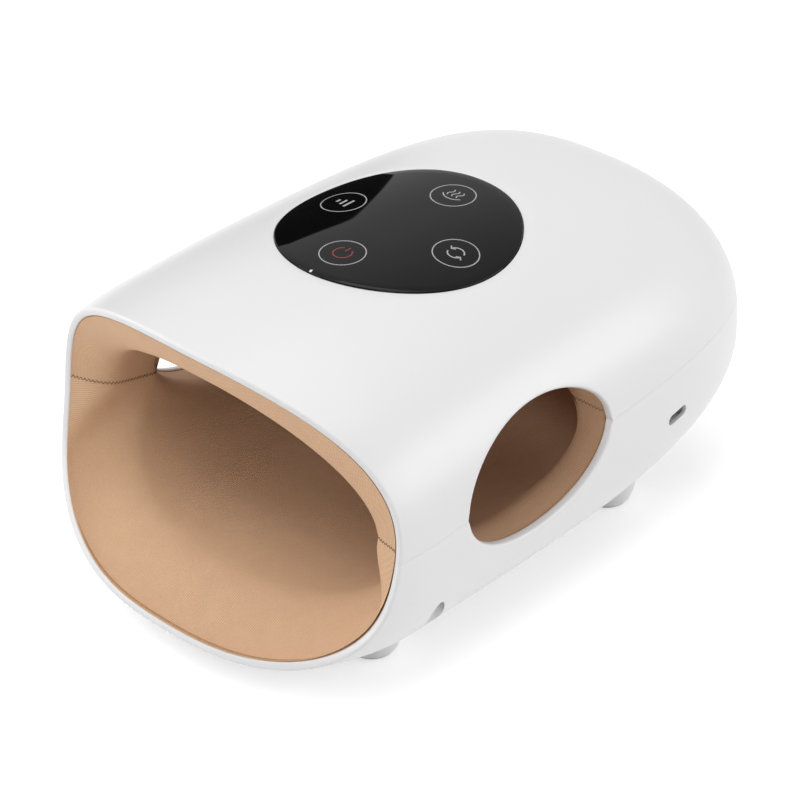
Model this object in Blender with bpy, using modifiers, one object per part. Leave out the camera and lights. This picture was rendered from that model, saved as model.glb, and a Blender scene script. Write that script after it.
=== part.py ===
"""Cordless hand massager: a moulded two-part housing round a fabric-lined hand pocket.

Units are metres. X runs across, Y from the mouth to the tail, and Z up from the table top.
"""
import math

import bmesh
import bpy
from mathutils import Matrix, Vector

for leftover in list(bpy.data.objects):
    bpy.data.objects.remove(leftover, do_unlink=True)

# Overall form of the body
LENGTH = 0.216
WIDTH = 0.150
HEIGHT = 0.1087
FOOT_HEIGHT = 0.0058
WAIST_Z = 0.0546
TAIL_Y = LENGTH / 2
MOUTH_SETBACK = 0.0210
MOUTH_Y = MOUTH_SETBACK - LENGTH / 2
WIDE_CREST_DEPTH = 0.0203
TOP_CREST_DEPTH = 0.0748
BELLY_CREST_DEPTH = 0.0272
WIDE_CREST_Y = MOUTH_Y + WIDE_CREST_DEPTH
TOP_CREST_Y = MOUTH_Y + TOP_CREST_DEPTH
BELLY_CREST_Y = MOUTH_Y + BELLY_CREST_DEPTH
WIDE_FALL_SHARES = (5.0, 4.7)
TOP_FALL_SHARES = (3.2, 4.25)
BELLY_FALL_SHARES = (3.6, 1.75)
TOP_SQUARE_SHARE = 2.43
BELLY_SQUARE_SHARE = 3.1

# The mouth: its half sizes, and how its rim leans, bows and sweeps back at the sides
MOUTH_TAPER = 0.0068
MOUTH_FALL = 0.0043
MOUTH_LIFT = 0.0018
MOUTH_WIDTH = WIDTH - MOUTH_TAPER
MOUTH_RISE = HEIGHT - WAIST_Z - MOUTH_FALL
MOUTH_DROP = WAIST_Z - FOOT_HEIGHT - MOUTH_LIFT
RIM_SCOOP = 0.0075
RIM_LEAN = 0.0082
RIM_BOW = 0.0128

# Walls, running clearance and the plane where the two housings meet
WALL = 0.0028
GAP = 0.0003
PARTING_Z = 0.0604
PARTING_SLOPE_SHARE = 0.056
OVERRUN = 0.004
AHEAD_SHARE = -0.05
LIP_SHARE = 0.003

# Thumb holes, one each side, on one line across the body
THUMB_Y = -0.0187
THUMB_Z = 0.0600
THUMB_LONG = 0.0642
THUMB_TALL = 0.0418
THUMB_TILT_SHARE = 0.034

# Control panel
PANEL_Y = -0.0016
PANEL_WIDE = 0.0754
PANEL_LONG = 0.0781
PANEL_THICK = 0.0016
KEY_SIDE_INSET = 0.0137
KEY_END_INSET = 0.01445
KEY_ACROSS = PANEL_WIDE / 2 - KEY_SIDE_INSET
KEY_ALONG = PANEL_LONG / 2 - KEY_END_INSET

# Hand pocket inside the fabric
TAIL_ROOM = 0.0720
POCKET_END_Y = TAIL_Y - TAIL_ROOM
SIDE_DEPTH = 0.0145
ROOF_DEPTH = 0.0181
FLOOR_DEPTH = 0.0178
POCKET_WIDTH = WIDTH - 2 * SIDE_DEPTH
POCKET_RISE = HEIGHT - WAIST_Z - ROOF_DEPTH
POCKET_DROP = WAIST_Z - FOOT_HEIGHT - FLOOR_DEPTH
FABRIC = 0.0012
TOP_BAG = 0.0055
BELLY_BAG = 0.0075
HEAT_FILM = 0.0006
FRAME_WALL = 0.0018

# Counts that set how fine the curves are
SIDES = 32
BODY_RINGS = 12
POCKET_RING_SHARES = (0.03, 0.06, 0.10, 0.16, 0.22, 0.50, 0.80, 0.88, 0.94, 0.98)

PART = bpy.data.collections.new("hand_massager")
CUTTERS = bpy.data.collections.new("cutters")
bpy.context.scene.collection.children.link(PART)
bpy.context.scene.collection.children.link(CUTTERS)


def finish(name, colour, roughness, metallic=0.0):
    """A plain surface with one colour."""
    made = bpy.data.materials.new(name)
    made.use_nodes = True
    shader = made.node_tree.nodes["Principled BSDF"]
    shader.inputs["Base Color"].default_value = (*colour, 1)
    shader.inputs["Roughness"].default_value = roughness
    shader.inputs["Metallic"].default_value = metallic
    return made


GLOSS_WHITE = ((0.86, 0.85, 0.86), 0.18)
GLOSS_BLACK = ((0.012, 0.012, 0.013), 0.06)
TAN_KNIT = ((0.60, 0.36, 0.20), 0.85)
SOFT_WHITE = ((0.80, 0.80, 0.79), 0.6)
NATURAL_PLASTIC = ((0.62, 0.62, 0.60), 0.45)
BLACK_PLASTIC = ((0.03, 0.03, 0.03), 0.5)
RUBBER_GREY = ((0.12, 0.12, 0.12), 0.75)
AIR_BAG_FILM = ((0.30, 0.31, 0.33), 0.4)
CARBON_FILM = ((0.05, 0.05, 0.05), 0.55)
BOARD_GREEN = ((0.02, 0.16, 0.07), 0.4)
BARE_STEEL = ((0.62, 0.62, 0.63), 0.28, 1.0)
ZINC_STEEL = ((0.72, 0.72, 0.70), 0.35, 1.0)
BRASS = ((0.72, 0.52, 0.22), 0.3, 1.0)
COPPER_WIRE = ((0.72, 0.33, 0.16), 0.35, 1.0)
CELL_WRAP = ((0.05, 0.16, 0.42), 0.35)
SILICONE = ((0.75, 0.75, 0.73), 0.5)


def keep(piece, look):
    """Make an object a named piece of the massager with its own material."""
    PART.objects.link(piece)
    piece.data.materials.append(finish(piece.name, *look))
    return piece


def as_cutter(piece):
    CUTTERS.objects.link(piece)
    piece.hide_render = True
    piece.display_type = "WIRE"
    return piece


def combine(piece, other, operation):
    step = piece.modifiers.new(other.name, "BOOLEAN")
    step.operation = operation
    step.object = other
    return piece


def cut(piece, *others):
    for other in others:
        combine(piece, other, "DIFFERENCE")
    return piece


def join(piece, *others):
    for other in others:
        combine(piece, other, "UNION")
    return piece


def clip(piece, other):
    return combine(piece, other, "INTERSECT")


def skin(name, rings, flat_ends=False):
    """Loft closed rings of equal count and close both ends, by a fan or by rungs across."""
    shape = bmesh.new()
    loops = [[shape.verts.new(point) for point in ring] for ring in rings]
    count = len(rings[0])
    for near, far in zip(loops, loops[1:]):
        for k in range(count):
            ahead = (k + 1) % count
            shape.faces.new((near[k], near[ahead], far[ahead], far[k]))
    for loop in (loops[0], loops[-1]):
        if flat_ends:
            for k in range(count // 2 - 1):
                shape.faces.new((loop[k], loop[k + 1], loop[count - 2 - k], loop[count - 1 - k]))
        else:
            middle = sum((corner.co for corner in loop), Vector()) / count
            hub = shape.verts.new(middle)
            for k in range(count):
                shape.faces.new((loop[k], loop[(k + 1) % count], hub))
    bmesh.ops.triangulate(shape, faces=shape.faces)
    bmesh.ops.recalc_face_normals(shape, faces=shape.faces)
    mesh = bpy.data.meshes.new(name)
    shape.to_mesh(mesh)
    shape.free()
    mesh.shade_smooth()
    return bpy.data.objects.new(name, mesh)


def block(name, size, centre):
    shape = bmesh.new()
    bmesh.ops.create_cube(shape, size=1, matrix=Matrix.Diagonal((*size, 1)))
    mesh = bpy.data.meshes.new(name)
    shape.to_mesh(mesh)
    shape.free()
    piece = bpy.data.objects.new(name, mesh)
    piece.location = centre
    return piece


def rod(name, radius, depth, centre, steps=20, axis="Z", tip=None):
    """A cylinder, or a taper where the tip has its own radius, centred along its axis."""
    shape = bmesh.new()
    bmesh.ops.create_cone(
        shape, cap_ends=True, segments=steps, radius1=radius, radius2=radius if tip is None else tip, depth=depth
    )
    turns = {"X": (math.pi / 2, "Y"), "Y": (-math.pi / 2, "X"), "Z": (0, "Z")}
    bmesh.ops.rotate(shape, verts=shape.verts, cent=(0, 0, 0), matrix=Matrix.Rotation(turns[axis][0], 3, turns[axis][1]))
    mesh = bpy.data.meshes.new(name)
    shape.to_mesh(mesh)
    shape.free()
    mesh.shade_smooth()
    mesh.set_sharp_from_angle(angle=math.radians(40))
    piece = bpy.data.objects.new(name, mesh)
    piece.location = centre
    return piece


def turned(name, outline, steps=24, closed=False):
    """Spin an outline of (radius, height) points about Z. A closed outline makes a ring."""
    shape = bmesh.new()
    points = [shape.verts.new((radius, 0, height)) for radius, height in outline]
    for here, there in zip(points, points[1:]):
        shape.edges.new((here, there))
    if closed:
        shape.edges.new((points[-1], points[0]))
    mesh = bpy.data.meshes.new(name)
    shape.to_mesh(mesh)
    shape.free()
    piece = bpy.data.objects.new(name, mesh)
    spin = piece.modifiers.new("spin", "SCREW")
    spin.steps = steps
    spin.render_steps = steps
    spin.use_merge_vertices = True
    spin.merge_threshold = 0.00001
    spin.use_smooth_shade = False
    return piece


def tube(name, route, radius, resolution=2):
    """A hose along a smooth curve through the route's points, made a mesh with welded caps."""
    curve = bpy.data.curves.new(name + "_route", "CURVE")
    curve.dimensions = "3D"
    curve.bevel_depth = radius
    curve.bevel_resolution = resolution
    curve.use_fill_caps = True
    line = curve.splines.new("POLY")
    line.points.add(len(route) - 1)
    for point, place in zip(line.points, route):
        point.co = (*place, 1)
    guide = bpy.data.objects.new(name + "_route", curve)
    PART.objects.link(guide)
    reading = guide.evaluated_get(bpy.context.evaluated_depsgraph_get())
    mesh = bpy.data.meshes.new_from_object(reading)
    bpy.data.objects.remove(guide, do_unlink=True)
    shape = bmesh.new()
    shape.from_mesh(mesh)
    bmesh.ops.remove_doubles(shape, verts=shape.verts, dist=0.00001)
    bmesh.ops.recalc_face_normals(shape, faces=shape.faces)
    shape.to_mesh(mesh)
    shape.free()
    mesh.materials.clear()
    return bpy.data.objects.new(name, mesh)


def bend(corners, radius, steps=4):
    """Points of a line through the corners with each inner corner rounded off and both ends straight."""
    knots = [Vector(corner) for corner in corners]
    route = [knots[0]]
    for before, knot, after in zip(knots, knots[1:], knots[2:]):
        reach = min(radius, (knot - before).length * 0.48, (after - knot).length * 0.48)
        start = knot + (before - knot).normalized() * reach
        end = knot + (after - knot).normalized() * reach
        for k in range(steps + 1):
            t = k / steps
            route.append(start * (1 - t) ** 2 + knot * (2 * t * (1 - t)) + end * t**2)
    route.append(knots[-1])
    return route


# The body's form: arched sections along Y, squarer below the waist than above it


def swell(y, mouth, full, crest, tail, falls):
    """Half size at y: it grows from the mouth to its full size, then rounds off to the tail."""
    if y < crest:
        ahead = (crest - y) / (crest - MOUTH_Y)
        return full - (full - mouth) * ahead**2
    along = min((y - crest) / (tail - crest), 1)
    return full * (1 - along ** falls[0]) ** (1 / falls[1])


def body_half_sizes(y, inset):
    tail = TAIL_Y - inset
    full_rise = HEIGHT - WAIST_Z
    full_drop = WAIST_Z - FOOT_HEIGHT
    wide = swell(y, MOUTH_WIDTH / 2 - inset, WIDTH / 2 - inset, WIDE_CREST_Y, tail, WIDE_FALL_SHARES)
    rise = swell(y, MOUTH_RISE - inset, full_rise - inset, TOP_CREST_Y, tail, TOP_FALL_SHARES)
    drop = swell(y, MOUTH_DROP - inset, full_drop - inset, BELLY_CREST_Y, tail, BELLY_FALL_SHARES)
    return wide, rise, drop


def arch(angle):
    """A point of the unit section: across, and up or down."""
    square = TOP_SQUARE_SHARE if math.sin(angle) >= 0 else BELLY_SQUARE_SHARE
    across = math.copysign(abs(math.cos(angle)) ** (2 / square), math.cos(angle))
    up = math.copysign(abs(math.sin(angle)) ** (2 / square), math.sin(angle))
    return across, up


def rim_y(angle):
    across, up = arch(angle)
    return MOUTH_Y + RIM_SCOOP * across**2 + RIM_LEAN * up - RIM_BOW * up**2


def section_point(angle, y, half_sizes):
    across, up = arch(angle)
    wide, rise, drop = half_sizes
    return Vector((wide * across, y, WAIST_Z + (rise if up >= 0 else drop) * up))


def round_angles(count=SIDES):
    """Even angles that stay clear of the midplane, so that no corner lies on it."""
    return [2 * math.pi * (k + 0.5) / count for k in range(count)]


def body_ring(share, inset):
    ring = []
    for angle in round_angles():
        front = rim_y(angle)
        y = front + share * (TAIL_Y - inset - front)
        ring.append(section_point(angle, y, body_half_sizes(y, inset)))
    return ring


def body_form(name, inset, start_share=0.0):
    """The body's outer form drawn in by an inset, from the rim, or ahead of it, to the tail."""
    crowding_share = 2.5
    mouth_shares = [share for share in (0.0, 0.06, 0.12) if share > start_share]
    shares = [1 - (1 - k / BODY_RINGS) ** crowding_share for k in range(1, BODY_RINGS)]
    return skin(name, [body_ring(share, inset) for share in [start_share, *mouth_shares, *shares]])


def dome_z(x, y):
    wide, rise, _ = body_half_sizes(y, 0)
    return WAIST_Z + rise * (1 - abs(x / wide) ** TOP_SQUARE_SHARE) ** (1 / TOP_SQUARE_SHARE)


def side_x(y, z):
    wide, rise, drop = body_half_sizes(y, 0)
    if z >= WAIST_Z:
        return wide * (1 - ((z - WAIST_Z) / rise) ** TOP_SQUARE_SHARE) ** (1 / TOP_SQUARE_SHARE)
    return wide * (1 - ((WAIST_Z - z) / drop) ** BELLY_SQUARE_SHARE) ** (1 / BELLY_SQUARE_SHARE)


def parting_block(name, side, gap):
    """A large block whose face lies on the parting plane, above it or below it."""
    slope = math.atan(PARTING_SLOPE_SHARE)
    away = Vector((0, -math.sin(slope), math.cos(slope))) * side
    centre = Vector((0, 0, PARTING_Z)) + away * (LENGTH + gap / 2)
    piece = block(name, (2 * LENGTH, 2 * LENGTH, 2 * LENGTH), centre)
    piece.rotation_euler.x = slope
    return as_cutter(piece)


def parting_at(y):
    return PARTING_Z + PARTING_SLOPE_SHARE * y


def thumb_bore(name, grow):
    """An oval bar right across the body, larger all round than the thumb hole by what it grows."""
    oval_steps = 32
    bore = rod(name, 1, 1, (0, THUMB_Y, THUMB_Z), oval_steps, "X")
    size = Matrix.Diagonal((WIDTH + 2 * OVERRUN, THUMB_LONG / 2 + grow, THUMB_TALL / 2 + grow))
    bore.data.transform(size.to_4x4())
    bore.rotation_euler.x = math.pi * THUMB_TILT_SHARE
    return as_cutter(bore)


def dome_disc(name, grow, top, bottom, steps=40):
    """A disc that follows the dome, between two heights over or under the dome's surface."""
    radius_shares = (0.3, 0.6, 0.85, 1.0)

    def ring(share, lift):
        points = []
        for angle in round_angles(steps):
            x = (PANEL_WIDE / 2 + grow) * share * math.cos(angle)
            y = PANEL_Y + (PANEL_LONG / 2 + grow) * share * math.sin(angle)
            points.append(Vector((x, y, dome_z(x, y) + lift)))
        return points

    under = [ring(share, bottom) for share in radius_shares]
    over = [ring(share, top) for share in reversed(radius_shares)]
    return skin(name, under + over)


# The hand pocket's form: it starts at the mouth's rim, draws in and ends in a blunt round


def pocket_half_sizes(share, grow, front, up):
    """Half sizes along the pocket: the padded roof falls steeply from the lip, the floor gently."""
    roof_entry_share = 0.10
    floor_entry_share = 0.22
    round_start_share = 0.80
    roofed = min(max(4 * up, 0), 1)
    steep = 1 - (1 - min(max(share / roof_entry_share, 0), 1)) ** 3
    gentle = min(max(share / floor_entry_share, 0), 1)
    gentle = gentle * gentle * (3 - 2 * gentle)
    blend = steep * roofed + gentle * (1 - roofed)
    along = min(max((share - round_start_share) / (1 - round_start_share), 0), 1)
    shrink = (1 - along**3) ** (1 / 3)
    at_rim = body_half_sizes(front, WALL + 2 * GAP + FABRIC)
    inside = (POCKET_WIDTH / 2, POCKET_RISE, POCKET_DROP)
    return [(rim * (1 - blend) + size * blend + more) * shrink for rim, size, more in zip(at_rim, inside, grow)]


def pocket_form(name, grow, start_share=0.0):
    rear = POCKET_END_Y + grow[0]
    rings = []
    for share in (start_share, *POCKET_RING_SHARES):
        ring = []
        for angle in round_angles():
            front = rim_y(angle)
            y = front + share * (rear - front)
            half_sizes = pocket_half_sizes(share, grow, front, arch(angle)[1])
            ring.append(section_point(angle, y, half_sizes))
        rings.append(ring)
    return skin(name, rings)


LINING_GROW = (FABRIC, FABRIC, FABRIC)
FRAME_INNER_GROW = (
    FABRIC + 2 * GAP,
    FABRIC + TOP_BAG + 4 * GAP,
    FABRIC + HEAT_FILM + BELLY_BAG + 5 * GAP,
)
FRAME_OUTER_GROW = tuple(grow + FRAME_WALL for grow in FRAME_INNER_GROW)

above_parting = parting_block("above_parting", 1, -GAP)
below_parting = parting_block("below_parting", -1, -GAP)
thumb_hole = thumb_bore("thumb_hole", 0)
inner_room = as_cutter(body_form("inner_room", WALL, AHEAD_SHARE))

FRONT_SCREW_INSET = 0.0060
REAR_SCREW_INSET = 0.0230
FRONT_SCREW_DEPTH = 0.0250
REAR_SCREW_DEPTH = 0.0300
SCREW_PLACES = {
    "front": (WIDTH / 2 - FRONT_SCREW_INSET, MOUTH_Y + FRONT_SCREW_DEPTH),
    "rear": (WIDTH / 2 - REAR_SCREW_INSET, TAIL_Y - REAR_SCREW_DEPTH),
}
SCREW_POST = 0.0080
SCREW_SHANK = 0.0030
SCREW_HEAD = 0.0056
SCREW_LENGTH = 0.0260
FOOT_X = 0.0421
FRONT_FOOT_DEPTH = 0.0271
REAR_FOOT_DEPTH = 0.0574
FOOT_YS = {"front": MOUTH_Y + FRONT_FOOT_DEPTH, "rear": TAIL_Y - REAR_FOOT_DEPTH}
FOOT_TIP = 0.0176
FOOT_ROOT = 0.0250
PAD_ACROSS = 0.0140
PAD_PROUD = 0.0010
PAD_THICK = 0.0020
TRAY_Z = 0.0330
TRAY_SPACE = 0.0390
TRAY_Y = TAIL_Y - TRAY_SPACE
TRAY_LONG = 0.0690
TRAY_DEEP = 0.0400
TRAY_WALL = 0.0016


# Charging slot on the right side, and the socket behind it
PORT_DEPTH = 0.0602
PORT_Y = TAIL_Y - PORT_DEPTH
PORT_Z = 0.0464
PORT_LONG = 0.0089
PORT_TALL = 0.0032
PORT_TILT_SHARE = 0.033
PORT_BOARD = (0.0100, 0.0130, 0.0010)
PORT_DEEP = 0.0074
PORT_SET_BACK = 0.0010


def port_turn():
    nudge = WALL
    slope = (side_x(PORT_Y + nudge, PORT_Z) - side_x(PORT_Y - nudge, PORT_Z)) / (2 * nudge)
    return Matrix.Rotation(-math.atan(slope), 4, "Z") @ Matrix.Rotation(math.pi * PORT_TILT_SHARE, 4, "X")


def at_port(piece):
    piece.matrix_world = Matrix.Translation((side_x(PORT_Y, PORT_Z), PORT_Y, PORT_Z)) @ port_turn()
    return piece


def port_bar(name, grow, outward, inward):
    """A round-ended bar along the port's own axis, from outside the wall to a depth inside it."""
    end_steps = 8
    radius = PORT_TALL / 2 + grow
    half_run = PORT_LONG / 2 - PORT_TALL / 2
    rings = []
    for reach in (-inward, outward):
        ring = []
        for k in range(2 * end_steps):
            angle = math.pi * (k + 0.5) / end_steps - math.pi / 2
            shift = half_run if k < end_steps else -half_run
            ring.append(Vector((reach, shift + radius * math.cos(angle), radius * math.sin(angle))))
        rings.append(ring)
    return at_port(skin(name, rings))


def corners():
    for end, (x, y) in SCREW_PLACES.items():
        for side, sign in (("left", -1), ("right", 1)):
            yield f"{end}_{side}", Vector((sign * x, y, 0))


def feet():
    for end, y in FOOT_YS.items():
        for side, sign in (("left", -1), ("right", 1)):
            yield f"foot_{end}_{side}", Vector((sign * FOOT_X, y, 0))


def screw_seat_z(place):
    """Height of the screw head's seat, on the parting plane less the clamped length."""
    clamped = SCREW_LENGTH * 0.62
    return parting_at(place.y) - clamped


def frame_ribs(name, side):
    """Cross ribs between the housing and the inner frame, trimmed to the frame."""
    rib_thick = 0.0020
    front_depth = 0.0390
    front_wide = 0.0360
    rear_setback = 0.0030
    rear_wide = 0.0140
    ribs = ((MOUTH_Y + front_depth, front_wide), (POCKET_END_Y - rear_setback, rear_wide))
    frame = as_cutter(pocket_form(f"{name}_frame", tuple(grow + GAP for grow in FRAME_OUTER_GROW)))
    for number, (y, rib_width) in enumerate(ribs):
        rib = block(f"{name}_{number}", (rib_width, rib_thick, HEIGHT), (0, y, WAIST_Z + side * HEIGHT / 2))
        yield cut(as_cutter(rib), frame)


def screw_posts(name, side):
    """Four posts from the parting plane to the wall, one for each housing screw."""
    for label, place in corners():
        centre = Vector((place.x, place.y, parting_at(place.y) + side * HEIGHT / 2))
        yield as_cutter(rod(f"{name}_{label}", SCREW_POST / 2, HEIGHT, centre, 12))


def tray_rests():
    """Two ribs across the tail of the lower housing, which carry the battery tray."""
    rib_thick = 0.0020
    spread = TRAY_DEEP * 0.8
    for number, sign in enumerate((-1, 1)):
        y = TRAY_Y + sign * spread / 2
        yield as_cutter(block(f"tray_rib_{number}", (TRAY_LONG * 0.8, rib_thick, TRAY_Z), (0, y, TRAY_Z / 2)))


def port_shelf():
    """The ledge inside the wall that carries the charging board."""
    tall = 0.0030
    top = -PORT_TALL / 2 - 2 * GAP - PORT_BOARD[2]
    shelf = block("port_shelf", (1, 1, 1), (0, 0, 0))
    size = Matrix.Diagonal((PORT_BOARD[0] + OVERRUN, PORT_BOARD[1], tall, 1))
    shelf.data.transform(Matrix.Translation((-PORT_BOARD[0] / 2, 0, top - tall / 2)) @ size)
    return as_cutter(at_port(shelf))


def furnish(housing, pieces):
    """Join inner ribs and posts to a housing, each trimmed to end inside its wall."""
    mid_wall = as_cutter(body_form(f"{housing.name}_mid_wall", WALL / 2))
    for piece in pieces:
        clip(piece, mid_wall)
        join(housing, piece)


def make_upper_housing():
    """Top shell: mouth lip, dome with the panel's recess, upper halves of the thumb holes."""
    housing = keep(body_form("upper_housing", 0), GLOSS_WHITE)
    cut(housing, inner_room)
    furnish(housing, [*frame_ribs("upper_rib", 1), *screw_posts("upper_post", 1)])
    cut(housing, below_parting)
    for label, place in corners():
        pilot_depth = SCREW_LENGTH * 0.45
        centre = Vector((place.x, place.y, parting_at(place.y)))
        pilot = rod(f"pilot_{label}", SCREW_SHANK / 2 + GAP, 2 * pilot_depth, centre, 12)
        cut(housing, as_cutter(pilot))
    recess = as_cutter(dome_disc("panel_recess", GAP, OVERRUN, -PANEL_THICK - GAP))
    ledge = 0.0040
    window = as_cutter(dome_disc("panel_window", -ledge, OVERRUN, -WALL - OVERRUN))
    cut(housing, recess, window, thumb_hole)
    return housing


def make_lower_housing():
    """Bottom shell with its moulded feet, screw sleeves and the charging slot."""
    housing = keep(body_form("lower_housing", 0), GLOSS_WHITE)
    foot_depth = FOOT_HEIGHT * 4
    for label, place in feet():
        centre = (place.x, place.y, PAD_PROUD + foot_depth / 2)
        foot = rod(f"moulded_{label}", FOOT_TIP / 2, foot_depth, centre, 20, tip=FOOT_ROOT / 2)
        join(housing, as_cutter(foot))
    cut(housing, inner_room)
    furnish(housing, [*frame_ribs("lower_rib", -1), *screw_posts("lower_post", -1), *tray_rests(), port_shelf()])
    cut(housing, above_parting)
    for label, place in corners():
        seat = screw_seat_z(place)
        through = rod(f"screw_way_{label}", SCREW_SHANK / 2 + GAP, HEIGHT, (place.x, place.y, seat), 12)
        head_room = SCREW_HEAD / 2 + 2 * GAP
        pocket = rod(f"head_way_{label}", head_room, HEIGHT, (place.x, place.y, seat - HEIGHT / 2), 16)
        cut(housing, as_cutter(through), as_cutter(pocket))
    for label, place in feet():
        deep = PAD_THICK - PAD_PROUD + GAP
        pocket = rod(f"pocket_{label}", PAD_ACROSS / 2 + GAP, 2 * deep, (place.x, place.y, PAD_PROUD), 20)
        cut(housing, as_cutter(pocket))
    cut(housing, thumb_hole, as_cutter(port_bar("port_slot", GAP, 2 * WALL, 2 * WALL)))
    return housing


upper_housing = make_upper_housing()
lower_housing = make_lower_housing()


def make_foot_pad(label, place):
    """A soft disc in the foot's round pocket, standing a little proud of it."""
    edge = 0.0004
    radius = PAD_ACROSS / 2
    outline = [(0, PAD_THICK), (radius, PAD_THICK), (radius, edge), (radius - edge, 0), (0, 0)]
    pad = turned(label.replace("foot", "foot_pad"), outline, 20)
    pad.location = place
    return keep(pad, RUBBER_GREY)


def make_screw(label, place):
    """A pan-head screw that clamps the two housings, seated in the sleeve from below."""
    head_tall = 0.0020
    slot_wide = 0.0007
    radius = SCREW_SHANK / 2
    outline = [
        (0, SCREW_LENGTH),
        (radius * 0.5, SCREW_LENGTH),
        (radius, SCREW_LENGTH - radius),
        (radius, 0),
        (SCREW_HEAD / 2, 0),
        (SCREW_HEAD / 2, -head_tall * 0.6),
        (SCREW_HEAD * 0.36, -head_tall),
        (0, -head_tall),
    ]
    screw = turned(f"housing_screw_{label}", outline, 12)
    screw.location = (place.x, place.y, screw_seat_z(place) - GAP)
    for number, size in enumerate(((SCREW_HEAD * 0.6, slot_wide), (slot_wide, SCREW_HEAD * 0.6))):
        drive = block(f"drive_{label}_{number}", (*size, head_tall), (place.x, place.y, screw.location.z - head_tall))
        cut(screw, as_cutter(drive))
    return keep(screw, ZINC_STEEL)


for corner_label, corner_place in feet():
    make_foot_pad(corner_label, corner_place)
for corner_label, corner_place in corners():
    make_screw(corner_label, corner_place)

# The control panel, its keys' foam pads and the board that reads them
KEYS = {"level": (-1, 0), "heat": (0, 1), "power": (0, -1), "mode": (1, 0)}
TOUCH_BOARD_MARGIN = 0.0057
TOUCH_BOARD_ACROSS = PANEL_WIDE - 2 * TOUCH_BOARD_MARGIN
TOUCH_BOARD_THICK = 0.0012
FOAM_ACROSS = 0.0100
TOUCH_BOARD_TOP = dome_z(TOUCH_BOARD_ACROSS / 2, PANEL_Y) - PANEL_THICK - 2 * GAP


def key_place(key):
    across, along = KEYS[key]
    return across * KEY_ACROSS, PANEL_Y + along * KEY_ALONG


def make_control_panel():
    """The lens: a thin disc moulded to the dome, set flush in its recess."""
    return keep(dome_disc("control_panel", 0, 0, -PANEL_THICK), GLOSS_BLACK)


def make_touch_board():
    """A flat round board just under the lens, with the lamps that light the keys."""
    lamp = 0.0016
    centre = (0, PANEL_Y, TOUCH_BOARD_TOP - TOUCH_BOARD_THICK / 2)
    board = rod("touch_board", TOUCH_BOARD_ACROSS / 2, TOUCH_BOARD_THICK, centre, 32)
    chip_size = (lamp * 5, lamp * 5, lamp)
    chip = block("touch_chip", chip_size, (0, PANEL_Y, TOUCH_BOARD_TOP - TOUCH_BOARD_THICK - lamp / 4))
    join(board, as_cutter(chip))
    return keep(board, BOARD_GREEN)


def make_key_foam(key):
    """Conductive foam between the board and the underside of the lens."""
    x, y = key_place(key)
    lens_under = dome_disc(f"lens_under_{key}", 0, OVERRUN, -PANEL_THICK - GAP)
    tall = 1.2 * OVERRUN
    foam = rod(f"key_foam_{key}", FOAM_ACROSS / 2, tall, (x, y, TOUCH_BOARD_TOP + GAP + tall / 2), 16)
    cut(foam, as_cutter(lens_under))
    return keep(foam, RUBBER_GREY)


control_panel = make_control_panel()
touch_board = make_touch_board()
for key_name in KEYS:
    make_key_foam(key_name)

# Everything round the hand: the frames, the bags, the heating film and the lining
FRAME_DEPTH = 0.0310
FRAME_FRONT_Y = MOUTH_Y + FRAME_DEPTH
AIR_NOZZLE = 0.0040
NOZZLE_X = 0.0120


def frame_form(name):
    """The pocket's frame: open to the mouth, closed at the rear, with both thumb holes."""
    frame = pocket_form(name, FRAME_OUTER_GROW)
    inside = as_cutter(pocket_form(f"{name}_inside", FRAME_INNER_GROW, AHEAD_SHARE))
    front_depth = LENGTH
    front = block(f"{name}_front", (LENGTH, front_depth, LENGTH), (0, FRAME_FRONT_Y - front_depth / 2, WAIST_Z))
    cut(frame, inside, as_cutter(front), thumb_way)
    return frame


def nozzle_place(level):
    """Where each bag's nozzle passes between the lining and the frame on its way to the rear."""
    if level == "upper":
        return Vector((NOZZLE_X, POCKET_END_Y, WAIST_Z + POCKET_RISE + FABRIC + 2 * GAP + AIR_NOZZLE / 2))
    drop = POCKET_DROP + FABRIC + HEAT_FILM + 3 * GAP + AIR_NOZZLE / 2
    return Vector((NOZZLE_X, POCKET_END_Y, WAIST_Z - drop))


thumb_way = thumb_bore("thumb_way", FABRIC + 2 * GAP)


def make_frames():
    upper = keep(frame_form("upper_frame"), NATURAL_PLASTIC)
    lower = keep(frame_form("lower_frame"), NATURAL_PLASTIC)
    cut(upper, below_parting)
    cut(lower, above_parting)
    for level, frame in (("upper", upper), ("lower", lower)):
        way = rod(f"{level}_nozzle_way", AIR_NOZZLE / 2 + GAP, 8 * OVERRUN, nozzle_place(level), 12, "Y")
        cut(frame, as_cutter(way))


def lining_form(name):
    """Both fabric pieces as sewn: the pocket with a sleeve out to each thumb hole."""
    lining = pocket_form(name, LINING_GROW)
    sleeve = thumb_bore(f"{name}_sleeve", FABRIC)
    join(lining, sleeve)
    clip(lining, lining_room)
    hollow = as_cutter(pocket_form(f"{name}_hollow", (0, 0, 0), AHEAD_SHARE))
    cut(lining, hollow, thumb_hole)
    return lining


lining_room = as_cutter(body_form("lining_room", WALL + GAP, LIP_SHARE))


def make_linings():
    upper = keep(lining_form("lining_upper"), TAN_KNIT)
    lower = keep(lining_form("lining_lower"), TAN_KNIT)
    cut(upper, below_parting)
    cut(lower, above_parting)


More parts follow.
